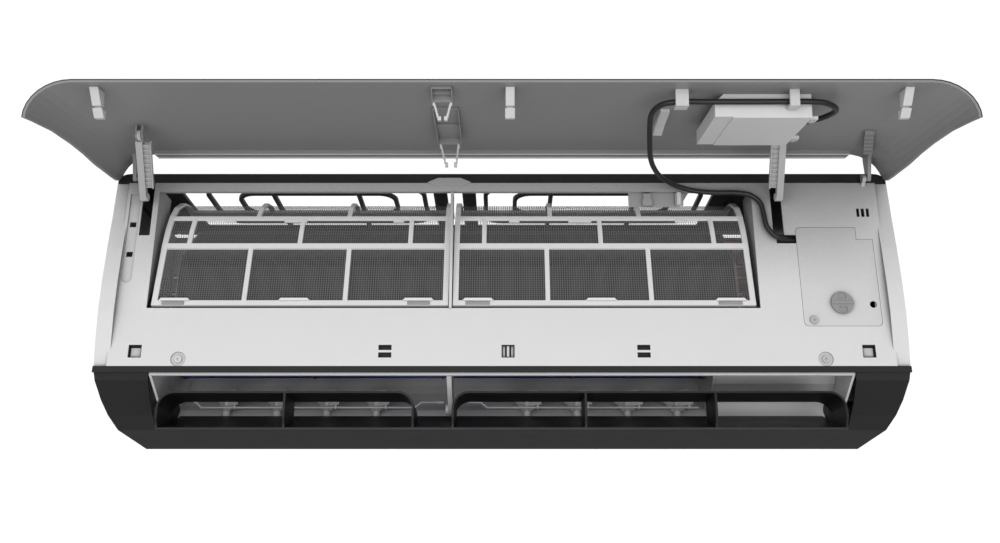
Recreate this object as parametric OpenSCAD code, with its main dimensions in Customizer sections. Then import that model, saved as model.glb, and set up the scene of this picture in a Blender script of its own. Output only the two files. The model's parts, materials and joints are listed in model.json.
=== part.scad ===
// Wall-mounted indoor unit of a split air conditioner, with its front panel raised.
// X runs along the wall to the right, Y into the wall and Z up. The origin lies on the wall,
// at the middle of the casing's width and height. Heights below are given from the casing's
// bottom plane, and the module seat() lowers each piece to the origin.

/* [Casing] */
// Width over the two cheeks
unit_w = 870; // [860:2:900]
// Height from the bottom plane to the top of the closed front panel
unit_h = 290; // [288:1:296]
// Depth from the wall to the face of the front frame
chassis_d = 192; // [190:1:200]
// Thickness of the moulded walls
wall = 2.5; // [2:0.1:2.8]
// Height of the dark outlet frame's upper edge
band_top = 60.8; // [60:0.2:62]
// Width of the air outlet
outlet_w = 748; // [744:1:752]

/* [Front panel] */
// Gap between the front frame and the closed panel
panel_gap = 34; // [33:0.5:40]
// Thickness of the panel's inner frame
panel_t = 2; // [1.6:0.1:2.6]
// Thickness of the panel's outer skin
skin_t = 1.2; // [0.8:0.1:1.6]
// Angle between the closed and the raised panel
panel_angle = 80.9; // [70:0.1:81]
// Height of the panel hinge's axis
hinge_z = 276; // [275.5:0.1:276.5]
// Diameter of the hinge pins
hinge_d = 5; // [4:0.1:6]

/* [Filters] */
// Left end of the filter opening, measured from the middle
opening_left = 385; // [384:0.5:388]
// Right end of the filter opening, measured from the middle
opening_right = 280; // [278:0.5:282]
// Lower edge of the filter opening
opening_low = 125; // [123:0.5:126]
// Place of the partition between the two filters
partition_x = -56; // [-60:1:-50]
// Depth of a filter frame's section
filter_t = 3; // [2:0.1:3.2]
// Width of a filter frame's side rails
rail_w = 6; // [4:0.5:8]
// Diameter of the strands of the filter net
strand_t = 0.6; // [0.4:0.1:0.8]

/* [Blower] */
// Diameter of the crossflow blower
blower_d = 96; // [88:1:98]
// Gap between the blower and the scroll at its narrowest
scroll_gap = 5; // [4.5:0.5:7]
// Number of blades on the blower
blade_count = 28; // [20:1:34]
// Left end of the blower, measured from the middle
blower_left = 370; // [366:1:371]
// Right end of the blower, measured from the middle
blower_right = 233; // [220:1:234]
// Diameter of the blower's shaft
shaft_d = 8; // [6:0.5:10]
// Diameter of the fan motor
motor_d = 82; // [70:1:84]

/* [Louver and vanes] */
// Thickness of the louver's main blade
louver_t = 2.5; // [1.8:0.1:2.8]
// Angle between the closed and the photographed louver
louver_angle = 43; // [40:0.5:45]
// Diameter of the louver's pins
louver_pin_d = 6; // [4:0.2:7]
// Thickness of a vane
vane_t = 1.5; // [1:0.1:2]
// Angle at which the vanes stand to the side
vane_angle = 45; // [30:1:48]
// Diameter of the rods that link the vanes
link_d = 2.4; // [2:0.1:2.8]

/* [Coil] */
// Thickness of the fin blocks
fin_t = 24; // [20:1:25]
// Diameter of the coil's tubes
tube_d = 7; // [5:0.5:8]

/* [Mounting] */
// Width of the wall plate
plate_w = 540; // [500:5:600]
// Thickness of the wall plate
plate_t = 1.5; // [1:0.1:2]
// Half the distance between the wall screws, across
mount_x = 225; // [200:1:240]
// Half the distance between the wall screws, up
mount_z = 60; // [40:1:70]
// Diameter of the wall screw holes
mount_d = 5.5; // [4:0.1:8]

/* [Hidden] */
$fn = 48;

// Fits and overruns shared by all pieces
cut = 1;
fit = 0.1;
run_fit = 0.05;

// Planes of the casing
half_w = unit_w / 2;
half_outlet = outlet_w / 2;
front_y = -chassis_d;
frame_back = front_y + wall;
back_y = -plate_t - wall;
frame_top = unit_h - 18;
top_low = unit_h - 9;
top_high = unit_h - 5;
bar_low = unit_h - 28.5;
band_h = 6.5;
band_low = band_top - band_h;
edge_h = 2.9;
crease_x = half_w - 17;
cheek_low = band_top + fit;

// Points given as shares of the casing's depth and height
function at_shares(s) = [for (p = s) [-p.x * chassis_d, p.y * unit_h]];

// Outlines made from a path: its normals, a parallel path and the strip between the two
function seg_normal(a, b) = let (d = b - a) [-d.y, d.x] / norm(d);
function path_normal(p, i) =
    i == 0 ? seg_normal(p[0], p[1])
    : i == len(p) - 1 ? seg_normal(p[i - 1], p[i])
    : let (a = seg_normal(p[i - 1], p[i]), b = seg_normal(p[i], p[i + 1]), m = a + b) m / (m * a);
function shifted(p, t) = [for (i = [0 : len(p) - 1]) p[i] + t * path_normal(p, i)];
function reversed(p) = [for (i = [len(p) - 1 : -1 : 0]) p[i]];
function strip(p, t) = concat(p, reversed(shifted(p, t)));
function between(a, b, s) = a + (b - a) * s;
function turned(p, about, angle) = [for (q = p) let (d = q - about)
    about + [d.x * cos(angle) - d.y * sin(angle), d.x * sin(angle) + d.y * cos(angle)]];
function arc(centre, r, from, to, steps) = [for (i = [0 : steps])
    let (a = between(from, to, i / steps)) centre + r * [cos(a), sin(a)]];
function mirrored(p) = reversed([for (q = p) [-q.x, q.y]]);

module seat() translate([0, 0, -unit_h / 2]) children();
module block(x, y, z) translate([x[0], y[0], z[0]]) cube([x[1] - x[0], y[1] - y[0], z[1] - z[0]]);
module along_x(x) translate([x[0], 0, 0]) rotate([90, 0, 90]) linear_extrude(x[1] - x[0]) children();
module along_y(y) translate([0, y[1], 0]) rotate([90, 0, 0]) linear_extrude(y[1] - y[0]) children();
module along_z(z) translate([0, 0, z[0]]) linear_extrude(z[1] - z[0]) children();
module ribbon(p, t, x) along_x(x) polygon(strip(p, t));
module rod_x(d, x, at) translate([x[0], at.x, at.y]) rotate([0, 90, 0]) cylinder(d = d, h = x[1] - x[0]);
module rod_y(d, y, at) translate([at.x, y[0], at.y]) rotate([-90, 0, 0]) cylinder(d = d, h = y[1] - y[0]);
module rod_z(d, z, at) translate([at.x, at.y, z[0]]) cylinder(d = d, h = z[1] - z[0]);
module bar(a, b, d) {
    v = b - a;
    translate(a) rotate([0, acos(v.z / norm(v)), atan2(v.y, v.x)]) cylinder(d = d, h = norm(v));
}
module round_rect(size, r) {
    translate([r, 0]) square([size.x - 2 * r, size.y]);
    translate([0, r]) square([size.x, size.y - 2 * r]);
    for (x = [r, size.x - r], y = [r, size.y - r]) translate([x, y]) circle(r);
}
module turn_about(p, angle) translate([0, p.x, p.y]) rotate([angle, 0, 0]) translate([0, -p.x, -p.y])
    children();

// Wall plate with hooks that catch behind the chassis
plate_low = 70;
plate_high = 250;
pipe_hole_d = 60;
pipe_hole = [170, 105];
hook_x = 180;
hook_w = 24;
hook_reach = 8;
hook_lip = 8;
hook_room = 1.5;
plate_mid = unit_h / 2;
module wall_plate() seat() color("silver") {
    difference() {
        block([-plate_w / 2, plate_w / 2], [-plate_t, 0], [plate_low, plate_high]);
        for (x = [-mount_x, mount_x], z = [-mount_z, mount_z])
            rod_y(mount_d, [-plate_t - cut, cut], [x, plate_mid + z]);
        rod_y(pipe_hole_d, [-plate_t - cut, cut], pipe_hole);
        rod_y(pipe_hole_d, [-plate_t - cut, cut], [-pipe_hole.x, pipe_hole.y]);
    }
    for (x = [-hook_x, hook_x]) {
        block([x - hook_w / 2, x + hook_w / 2], [-hook_reach, -plate_t], [plate_high - plate_t, plate_high]);
        block([x - hook_w / 2, x + hook_w / 2], [-hook_reach, -hook_reach + plate_t],
            [plate_high - plate_t, plate_high + hook_lip]);
    }
}

// Blower scroll: a spiral round the blower's axis that runs down to the outlet's lip
axis = [-95, 117];
scroll_from = 50;
scroll_to = -80;
scroll_steps = 14;
scroll_growth = 31;
lip = [-104, 13];
function scroll_point(s) = let (a = between(scroll_from, scroll_to, s),
    r = blower_d / 2 + scroll_gap + scroll_growth * s * s) axis + r * [cos(a), sin(a)];
scroll_path = concat([for (i = [0 : scroll_steps]) scroll_point(i / scroll_steps)], [lip]);
floor_path = [scroll_point(1), lip];
function floor_z(y) = between(lip.y, scroll_point(1).y, (y - lip.x) / (scroll_point(1).x - lip.x));

// Ceiling of the outlet, from its front edge back to the tongue near the blower
ceiling_front = front_y + 6.2;
ceiling_path = [[ceiling_front, band_low - edge_h], [ceiling_front, 58], [-181, 68], [-174, 77],
    [-163, 84.5], [-148, 86], [-138, 82], [-145, 97], [-147, 112]];
ceiling_t = 2;

// Rear chassis
chassis_half = half_w - 7;
chassis_low = 4;
chassis_high = unit_h - 14;
flange_low = 9;
flange_d = 60;
web_low = 62;
web_x = [-374, -250, -125, 0, 125, 236];
partition_at = blower_right + 3;
bearing_d = 22;
bearing_seat = bearing_d + 2 * run_fit;
shaft_hole = 30;
end_outline = concat([[back_y, 14], [-101, 14], [-150, 30], [ceiling_front, band_low - 1.4],
    [ceiling_front, 66], [-176, 84], [-150, 88], [-147, 112], [-140, 160], [-60, 170]],
    [[-36, 172], [back_y, 172]]);
louver_pivot = [-118, 28];
louver_bore = louver_pin_d + 2 * run_fit;
vane_pin_y = -92;
vane_pin_d = 3;
vane_boss_d = 8;
vane_boss_top = 30.7;
vane_low = 31;
left_vanes = [-316, -258, -201, -144];
right_vanes = [29, 86, 144, 201];
partition_outline = [[back_y, 14], [-101, 14], [-96.5, 20], [-98.5, 39], [-126.5, 55], [-138, 66],
    [-138, 82], [-145, 97], [-147, 112], [-140, 160], [-60, 170], [-36, 172], [back_y, 172]];
channel_y = [-40, back_y];
channel_z = [24, 60];
module duct_end(x) along_x([x, x + wall]) polygon(end_outline);
module rear_chassis() seat() color("gainsboro") difference() {
    union() {
        block([-chassis_half, chassis_half], [back_y, -plate_t], [chassis_low, chassis_high]);
        for (x = [-chassis_half, chassis_half - wall])
            block([x, x + wall], [-flange_d, -plate_t], [flange_low, chassis_high]);
        ribbon(scroll_path, wall, [-half_outlet, partition_at + wall]);
        ribbon(floor_path, wall, [partition_at, half_outlet]);
        duct_end(-half_outlet - wall);
        duct_end(half_outlet);
        along_x([partition_at, partition_at + wall]) polygon(partition_outline);
        for (x = web_x) along_x([x, x + wall]) polygon(concat(
            [for (p = shifted(scroll_path, wall / 2)) if (p.y > web_low) p],
            [[back_y, web_low], [back_y, scroll_path[0].y]]));
        for (x = concat(left_vanes, right_vanes))
            rod_z(vane_boss_d, [floor_z(vane_pin_y) - wall, vane_boss_top], [x, vane_pin_y]);
    }
    for (x = [-hook_x, hook_x])
        block([x - hook_w / 2 - hook_room, x + hook_w / 2 + hook_room], [back_y - cut, cut],
            [plate_high - plate_t - hook_room, plate_high + hook_room]);
    for (x = [-pipe_hole.x, pipe_hole.x])
        rod_y(pipe_hole_d, [back_y - cut, cut], [x, pipe_hole.y]);
    rod_x(bearing_seat, [-half_outlet - wall - cut, -half_outlet + cut], axis);
    rod_x(shaft_hole, [partition_at - cut, partition_at + wall + cut], axis);
    block([partition_at - cut, partition_at + wall + cut], channel_y, channel_z);
    rod_x(louver_bore, [-half_outlet - wall - cut, -half_outlet + cut], louver_pivot);
    rod_x(louver_bore, [half_outlet - cut, half_outlet + wall + cut], louver_pivot);
    for (x = concat(left_vanes, right_vanes))
        rod_z(vane_pin_d + 2 * run_fit, [floor_z(vane_pin_y), vane_boss_top + cut], [x, vane_pin_y]);
}

// Ceiling, tongue and the wall that closes the outlet in front of the motor
blank_path = [[-142, 78], [-126, 56], [-98, 40], [-95.5, 24]];
duct_fit = 0.2;
screw_x = 345;
screw_z = 68.4;
screw_d = 4;
duct_bore = [ceiling_front - cut, ceiling_front + 11];
module outlet_duct() seat() color("darkgray") difference() {
    union() {
        ribbon(ceiling_path, ceiling_t, [-half_outlet + duct_fit, half_outlet - duct_fit]);
        ribbon(blank_path, ceiling_t, [partition_at + wall + duct_fit, half_outlet - duct_fit]);
    }
    for (x = [-screw_x, screw_x]) rod_y(screw_d + 2 * run_fit, duct_bore, [x, screw_z]);
}

// Drain pan under the coil's front leg, with its spigot behind the right end
pan_path = [[-151, 108], [-152, 95], [-160, 92.5], [-176, 92.5], [-184, 98], [-184, 121]];
pan_t = 2;
pan_left = 386;
pan_right = 300;
spigot_d = 16;
spigot_bore = 12;
spigot_y = -168;
spigot_z = 104;
spigot_l = 12;
module drain_pan() seat() color("whitesmoke") difference() {
    union() {
        ribbon(pan_path, -pan_t, [-pan_left, pan_right]);
        for (x = [-pan_left, pan_right - pan_t]) along_x([x, x + pan_t]) polygon(pan_path);
        rod_x(spigot_d, [pan_right - pan_t, pan_right + spigot_l], [spigot_y, spigot_z]);
    }
    rod_x(spigot_bore, [pan_right - pan_t - cut, pan_right + spigot_l + cut], [spigot_y, spigot_z]);
}

// Support of the louver at mid-width, hung from the ceiling
support_x = -57;
support_t = 5;
support_pin_d = 5;
support_low = [[-134, 26], [-122, 20.5], [-113, 20.5], [-109, 30], [-116, 55]];
support_boss_d = 12;
support_boss_l = 3.5;
module centre_support() seat() color("white") difference() {
    union() {
        along_x([support_x - support_t / 2, support_x + support_t / 2])
            polygon(concat([for (i = [1 : 6]) ceiling_path[i]], reversed(support_low)));
        rod_x(support_boss_d, [support_x - support_t / 2 - support_boss_l, support_x], louver_pivot);
    }
    rod_x(support_pin_d + 2 * run_fit, [support_x - support_t - support_boss_l, support_x + support_t],
        louver_pivot);
}

// Dark outlet frame: upper band, curved skin below the cheeks, bottom and end walls
skin_shares = [[0.99, 0.207], [0.948, 0.164], [0.823, 0.1055], [0.698, 0.0645], [0.521, 0.0276], [0.01,
    0.004]];
skin_path = at_shares(skin_shares);
flare = 14;
frame_end_in = half_outlet + wall + fit;
module outlet_frame() seat() color("#303030") {
    block([-half_w, half_w], [front_y, front_y + wall - fit], [band_low, band_top]);
    for (side = [-1, 1]) scale([side, 1, 1]) {
        difference() {
            ribbon(skin_path, wall, [frame_end_in, half_w]);
            along_z([0, band_top]) polygon([[frame_end_in - cut, front_y], [frame_end_in, front_y],
                [frame_end_in + flare, lip.x], [frame_end_in - cut, lip.x]]);
        }
        along_x([half_w - wall, half_w])
            polygon(concat(skin_path, [[-plate_t, band_top], [skin_path[0].x, band_top]]));
        block([frame_end_in, half_w], [front_y, front_y + wall - fit], [skin_path[0].y - wall, band_top]);
    }
    ribbon([skin_path[4], skin_path[5]], wall, [-frame_end_in - cut, frame_end_in + cut]);
}

// Black top casing with its intake grille
top_corner = [14, 9];
top_half = half_w - top_corner.x;
top_front = front_y + 4;
top_steps = 6;
top_end = concat([[half_w, frame_top + fit]], [for (i = [0 : top_steps]) let (a = i * 90 / top_steps)
    [half_w - top_corner.x * (1 - cos(a)), top_high - top_corner.y * (1 - sin(a))]],
    [[half_w - top_corner.x - cut, top_high]]);
top_back = -plate_t;
grille_left = -377;
grille_right = 250;
grille_front = -175;
grille_back = -28;
grille_bar = 5;
loop_out = [261, 110];
loop_in = [191, 68];
loop_r = 22;
loop_y = -43;
loop_in_y = -70;
loop_mid = 220.5 - 56;
rib_off = 50.5;
post_w = 16;
post_x = 25;
module grille_loop(size, y) translate([-size.x / 2, y - size.y]) difference() {
    round_rect(size, loop_r);
    translate([grille_bar, grille_bar])
        round_rect(size - 2 * [grille_bar, grille_bar], loop_r - grille_bar);
}
module top_casing() seat() color("#1c1c1e") {
    along_z([top_low, top_high]) difference() {
        translate([-top_half, top_front]) square([2 * top_half, top_back - top_front]);
        difference() {
            translate([grille_left, grille_front])
                square([grille_right - grille_left, grille_back - grille_front]);
            for (side = [-1, 1]) translate([partition_x + side * loop_mid, 0]) {
                grille_loop(loop_out, loop_y);
                grille_loop(loop_in, loop_in_y);
                for (x = [-rib_off, rib_off]) translate([x - grille_bar / 2, grille_front - cut])
                    square([grille_bar, grille_back - grille_front + 2 * cut]);
            }
            for (x = [partition_x - post_x, partition_x + post_x - post_w])
                translate([x, grille_front - cut]) square([post_w, grille_back - grille_front + 2 * cut]);
        }
    }
    for (side = [-1, 1]) scale([side, 1, 1]) along_y([top_front, top_back]) polygon(strip(top_end, wall));
    along_y([top_front, top_front + wall]) polygon(concat(top_end, mirrored(top_end)));
}

// Filter frames and nets on one curved section
opening_gap = 3.6;
filter_shares = [[0.922, 0.707], [0.892, 0.772], [0.849, 0.838], [0.786, 0.893], [0.687, 0.938],
    [0.573, 0.956], [0.422, 0.948]];
filter_low = [front_y + 1.5, opening_low + opening_gap];
filter_path = concat([filter_low], at_shares(filter_shares));
bottom_bar = 6;
main_bar = 6.5;
upper_bar = 4;
upper_at = 3;
rear_bar = 18;
filter_gap = 2.5;
left_filter = [-opening_left + 4, partition_x - filter_gap];
right_filter = [partition_x + filter_gap, opening_right - 4];
left_low_ribs = [-281, -171];
right_low_ribs = [50, 163];
left_high_ribs = [-351, -227, -103];
right_high_ribs = [-20, 111, 238];
left_top_ribs = [-279, -175];
right_top_ribs = [55, 157];
rib_w = 5;
tab_w = 34;
tab_h = 5;
tab_reach = 1.2;
left_tabs = [-356, -226, -91];
right_tabs = [-26, 108, 249];
knob_h = 7;
left_knobs = [[-316, -304], [-249, -223], [-124, -112]];
right_knobs = [[8, 20], [76, 102], [198, 210]];
filter_in = shifted(filter_path, -filter_t);
rear_at = 6;
function side_l(i) = norm(filter_path[i + 1] - filter_path[i]);
function on_side(i, s) = [between(filter_path[i], filter_path[i + 1], s),
    between(filter_in[i], filter_in[i + 1], s)];
function side_piece(i, from, to) = let (a = on_side(i, from), b = on_side(i, to)) [a[0], b[0], b[1], a[1]];
function last_piece(i, l) = side_piece(i, 1 - l / side_l(i), 1);
function run_piece(i, j) = concat([for (k = [i : j]) filter_path[k]], [for (k = [j : -1 : i]) filter_in[k]]);
module rib_of(outline, x) along_x([x - rib_w / 2, x + rib_w / 2]) polygon(outline);
module filter_frame(x, low_ribs, high_ribs, top_ribs, tabs, knobs) {
    for (e = [x[0], x[1] - rail_w]) along_x([e, e + rail_w]) polygon(run_piece(0, rear_at + 1));
    along_x(x) polygon(side_piece(0, 0, bottom_bar / side_l(0)));
    along_x(x) polygon(last_piece(0, main_bar));
    along_x(x) polygon(last_piece(upper_at - 1, upper_bar));
    along_x(x) polygon(last_piece(rear_at, rear_bar));
    for (r = low_ribs) rib_of(side_piece(0, 0, 1), r);
    for (r = high_ribs) rib_of(run_piece(1, upper_at), r);
    for (r = top_ribs) rib_of(run_piece(upper_at, rear_at + 1), r);
    for (t = tabs)
        block([t - tab_w / 2, t + tab_w / 2], [filter_low.x - tab_reach, filter_low.x + 2 * tab_reach],
            [filter_low.y + bottom_bar - tab_reach, filter_low.y + bottom_bar]);
    for (k = knobs) along_x(k) polygon(last_piece(upper_at - 1, knob_h));
}
net_cols = 16;
net_rows = 9;
mesh_from = 0.2;
mesh_to = 0.8;
module filter_net(x) {
    base = filter_in;
    pitch_x = (x[1] - x[0]) / net_cols;
    pitch_z = norm(base[1] - base[0]) / net_rows;
    lean = atan2(base[1].x - base[0].x, base[1].y - base[0].y);
    difference() {
        ribbon(base, -strand_t, x);
        translate([0, base[0].x, base[0].y]) rotate([-lean, 0, 0])
            for (i = [0 : net_cols - 1], j = [0 : net_rows - 1])
                block([x[0] + (i + mesh_from) * pitch_x, x[0] + (i + mesh_to) * pitch_x], [-cut,
                    strand_t + cut],
                    [(j + mesh_from) * pitch_z, (j + mesh_to) * pitch_z]);
    }
}
module filter_left_frame() seat() color("white")
    filter_frame(left_filter, left_low_ribs, left_high_ribs, left_top_ribs, left_tabs, left_knobs);
module filter_right_frame() seat() color("white")
    filter_frame(right_filter, right_low_ribs, right_high_ribs, right_top_ribs, right_tabs, right_knobs);
module filter_left_net() seat() color("dimgray") filter_net(left_filter);
module filter_right_net() seat() color("dimgray") filter_net(right_filter);

// Front frame: plate, cheeks, cross bar, partition, slots, latch pockets and screw seats
slot_w = 12;
slot_low = 209;
slot_high = frame_top + 2;
stay_left_x = -397;
stay_right_x = 307;
pocket_w = 14;
pocket_h = 14;
pocket_z = 77;
pocket_d = 4;
pocket_t = 1;
pocket_end_x = 392;
pocket_bar = 2.5;
pocket_h_x = [-125, 151.5];
pocket_v_x = 6.5;
screw_head = 8;
screw_dish = 16;
dish_d = 1;
groove_x = [-417, -405];
groove_z = [160, 258];
groove_d = 1.2;
cover_x = [326, 410];
cover_z = [105, 218];
cover_r = 5;
cover_notch = [18, 14];
cover_t = 1.5;
cover_ledge = 5;
cover_gap = 0.4;
cover_screw = [336.4, 111.5];
slit_x = 403;
slit_z = 236;
slit_size = [14, 10];
slit_bar = 2;
slit_bars = [-2.8, 2.8];
top_tab = [[-15, -4], [15, -4], [24.5, 0.7], [13, 6], [-13, 6], [-24.5, 0.7]];
tab_x = -59.5;
tab_y = [front_y - 0.8, front_y + 2];
clip_hole = [7, 6];
clip_hole_x = -411;
clip_hole_z = [187, 222];
divide_t = 3;
divide_y = [front_y - 1, -175];
bar_t = 5;
ledge = [1.2, 2];
cable_slot_x = [304, 332];
cable_slot_z = [199.5, 209.5];
step_d = 6;
lug_foot = 265;
hinge_y = front_y - 3;
hinge = [hinge_y, hinge_z];
lug_x = [405, 409];
lug_r = 5;
guide_t = 2;
bow_shares = [[1.01, 0.314], [1.025, 0.414], [1.025, 0.531], [1.013, 0.666], [0.994, 0.8]];
bow_path = concat([[front_y + 2.5, cheek_low]], at_shares(bow_shares), [[front_y + 3.5, frame_top]]);
guide_outline = [[frame_back, opening_low], [frame_back, 268], [-150, 268], [-150, 215], [-178, 150]];
module cover_outline(grow) difference() {
    translate([cover_x[0] - grow, cover_z[0] - grow])
        round_rect([cover_x[1] - cover_x[0] + 2 * grow, cover_z[1] - cover_z[0] + 2 * grow], cover_r);
    translate([cover_x[1] - cover_notch.x + grow, cover_z[1] - cover_notch.y + grow])
        square(cover_notch + [cut, cut]);
}
module pocket_box(x, w, h) difference() {
    block([x - w / 2 - pocket_t, x + w / 2 + pocket_t], [frame_back, frame_back + pocket_d],
        [pocket_z - h / 2 - pocket_t, pocket_z + h / 2 + pocket_t]);
    block([x - w / 2, x + w / 2], [frame_back - cut, frame_back + pocket_d - pocket_t],
        [pocket_z - h / 2, pocket_z + h / 2]);
}
module window(x, z, w, h) block([x - w / 2, x + w / 2], [front_y - cut, frame_back + cut],
    [z - h / 2, z + h / 2]);
module front_frame() seat() color("lightgray") {
    difference() {
        block([-crease_x - wall, crease_x + wall], [front_y, frame_back], [cheek_low, frame_top]);
        block([-opening_left, opening_right], [front_y - cut, frame_back + cut], [opening_low, bar_low]);
        window(stay_left_x, (slot_low + slot_high) / 2, slot_w, slot_high - slot_low);
        window(stay_right_x, (slot_low + slot_high) / 2, slot_w, slot_high - slot_low);
        for (x = [-pocket_end_x, pocket_v_x, pocket_end_x]) window(x, pocket_z, pocket_w, pocket_h);
        for (x = pocket_h_x) window(x, pocket_z, pocket_w, pocket_h);
        for (x = [-screw_x, screw_x]) {
            rod_y(screw_dish, [front_y - cut, front_y + dish_d], [x, screw_z]);
            rod_y(screw_d + 2 * run_fit, [front_y - cut, frame_back + cut], [x, screw_z]);
        }
        block(groove_x, [front_y - cut, front_y + groove_d], groove_z);
        rod_y(groove_x[1] - groove_x[0], [front_y - cut, front_y + groove_d],
            [(groove_x[0] + groove_x[1]) / 2, groove_z[0]]);
        for (z = clip_hole_z) window(clip_hole_x, z, clip_hole.x, clip_hole.y);
        block(cable_slot_x, [front_y - cut, frame_back + cut], cable_slot_z);
        rod_y(screw_d + 2 * run_fit, [front_y - cut, frame_back + cut], cover_screw);
        along_y([front_y - cut, front_y + cover_t]) cover_outline(cover_gap);
        along_y([front_y - cut, frame_back + cut]) cover_outline(-cover_ledge);
        window(slit_x, slit_z, slit_size.x, slit_size.y);
    }
    for (x = slit_bars)
        block([slit_x + x - slit_bar / 2, slit_x + x + slit_bar / 2], [front_y, frame_back],
            [slit_z - slit_size.y / 2, slit_z + slit_size.y / 2]);
    for (side = [-1, 1]) scale([side, 1, 1]) {
        ribbon(bow_path, -wall, [crease_x, half_w]);
        along_x([crease_x, crease_x + wall])
            polygon(concat(bow_path, [[front_y + step_d, frame_top], [front_y + step_d, cheek_low]]));
        block([crease_x, crease_x + wall], [front_y, front_y + step_d], [cheek_low, frame_top]);
        along_x([half_w - wall, half_w])
            polygon(concat(bow_path, [[-plate_t, frame_top], [-plate_t, cheek_low]]));
        difference() {
            along_x(lug_x) polygon(concat(arc(hinge, lug_r, 90, 270, 12),
                [[frame_back, lug_foot], [frame_back, frame_top - fit], [front_y + cut, frame_top - fit],
                 [front_y + cut, hinge_z + lug_r]]));
            rod_x(hinge_d + 2 * run_fit, [lug_x[0] - cut, lug_x[1] + cut], hinge);
        }
    }
    block([-opening_left, opening_right], [front_y, front_y + bar_t], [bar_low, frame_top]);
    block([-half_outlet, half_outlet], [frame_back, frame_back + ledge.x], [band_low - edge_h,
        cheek_low + ledge.y]);
    block([partition_x - divide_t / 2, partition_x + divide_t / 2], divide_y, [opening_low, bar_low]);
    along_y(tab_y) translate([tab_x, frame_top]) polygon(top_tab);
    for (x = [-pocket_end_x, pocket_v_x, pocket_end_x, pocket_h_x[0], pocket_h_x[1]])
        pocket_box(x, pocket_w, pocket_h);
    for (x = pocket_h_x) block([x - pocket_w / 2, x + pocket_w / 2], [front_y, frame_back],
        [pocket_z - pocket_bar / 2, pocket_z + pocket_bar / 2]);
    for (x = [-opening_left - guide_t - cut, opening_right + cut])
        along_x([x, x + guide_t]) polygon(guide_outline);
}

// Electronics cover with its quarter-turn lock, and the three case screws
lock_at = [368.6, 130.6];
lock_d = 24;
lock_shaft = 10;
lock_h = 2.2;
lock_bar = 3;
cam = [18, 4];
dish_share = 0.385;
dish_off = 0.294;
cam_t = 1.5;
peep_at = [402.5, 129];
peep_d = 7.6;
screw_l = 11;
screw_head_h = 1.6;
cross_w = 1;
module electronics_cover() seat() color("lightgray") difference() {
    along_y([front_y, front_y + cover_t]) cover_outline(0);
    rod_y(lock_shaft + 2 * run_fit, [front_y - cut, front_y + 2 * cover_t], lock_at);
    rod_y(peep_d, [front_y - cut, front_y + 2 * cover_t], peep_at);
    rod_y(screw_d + 2 * run_fit, [front_y - cut, front_y + 2 * cover_t], cover_screw);
}
module cover_lock_knob() seat() color("gray") {
    difference() {
        rod_y(lock_d, [front_y - run_fit - lock_h, front_y - run_fit], lock_at);
        for (z = [-1, 1]) rod_y(lock_d * dish_share, [front_y - 2 * lock_h, front_y - lock_h / 2],
            lock_at + [0, z * lock_d * dish_off]);
    }
    block([lock_at.x - lock_d / 2, lock_at.x + lock_d / 2],
        [front_y - run_fit - 1.5 * lock_h, front_y - lock_h],
        [lock_at.y - lock_bar / 2, lock_at.y + lock_bar / 2]);
    rod_y(lock_shaft, [front_y - lock_h, front_y + 2 * cover_t + cam_t], lock_at);
    block([lock_at.x - cam.x / 2, lock_at.x + cam.x / 2],
        [front_y + cover_t + fit, front_y + 2 * cover_t + cam_t],
        [lock_at.y - cam.y / 2, lock_at.y + cam.y / 2]);
}
module case_screw(at, face) difference() {
    union() {
        rod_y(screw_d, [face - fit, face + screw_l], at);
        rod_y(screw_head, [face - screw_head_h, face], at);
    }
    for (size = [[screw_head / 2, cross_w], [cross_w, screw_head / 2]])
        block([at.x - size.x / 2, at.x + size.x / 2], [face - 2 * screw_head_h, face - screw_head_h / 2],
            [at.y - size.y / 2, at.y + size.y / 2]);
}
module case_screws() seat() color("silver") {
    for (x = [-screw_x, screw_x]) case_screw([x, screw_z], front_y + dish_d);
    case_screw(cover_screw, front_y);
}

// Control box behind the cover, with its board and terminals
box_x = [327, 413];
box_y = [frame_back, -152];
box_z = [98, 226];
box_wall = 2;
board_t = 1.6;
board_y = -158;
board_edge = 4;
post_d = 5;
notch_y = -180;
notch_z = [199.5, 208.5];
module control_box() seat() color("#3a3d40") difference() {
    union() {
        difference() {
            block(box_x, box_y, box_z);
            block([box_x[0] + box_wall, box_x[1] - box_wall], [box_y[0] - cut, box_y[1] - box_wall],
                [box_z[0] + box_wall, box_z[1] - box_wall]);
        }
        rod_y(2 * screw_head - box_wall, [box_y[0], box_y[1] - box_wall], cover_screw);
    }
    rod_y(screw_d + 2 * run_fit, [box_y[0] - cut, box_y[0] + screw_l], cover_screw);
    block([box_x[0] - cut, box_x[0] + box_wall + cut], [box_y[0] - cut, notch_y], notch_z);
}
function board_inside(i, s) = between(i[0] + box_wall + board_edge, i[1] - box_wall - board_edge, s);
module control_board() seat() {
    color("darkgreen") block([board_inside(box_x, 0), board_inside(box_x, 1)], [board_y, board_y + board_t],
        [board_inside(box_z, 0.22), board_inside(box_z, 1)]);
    color("dimgray") for (x = [0.08, 0.92], z = [0.28, 0.94])
        rod_y(post_d, [board_y, box_y[1] - box_wall], [board_inside(box_x, x), board_inside(box_z, z)]);
    color("dimgray") for (s = [[0.25, 0.5, 16], [0.6, 0.42, 20]])
        rod_y(s[2], [board_y - 1.2 * s[2], board_y], [board_inside(box_x, s.x), board_inside(box_z, s.y)]);
    color("black") for (s = [[0.2, 0.75], [0.5, 0.78], [0.8, 0.75]])
        let (x = board_inside(box_x, s.x), z = board_inside(box_z, s.y))
            block([x - post_d, x + post_d], [board_y - 3 * post_d, board_y], [z - 2 * post_d,
                z + 2 * post_d]);
}
terminal_h = 18;
terminal_y = [-180, -162];
terminal_count = 5;
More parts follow.
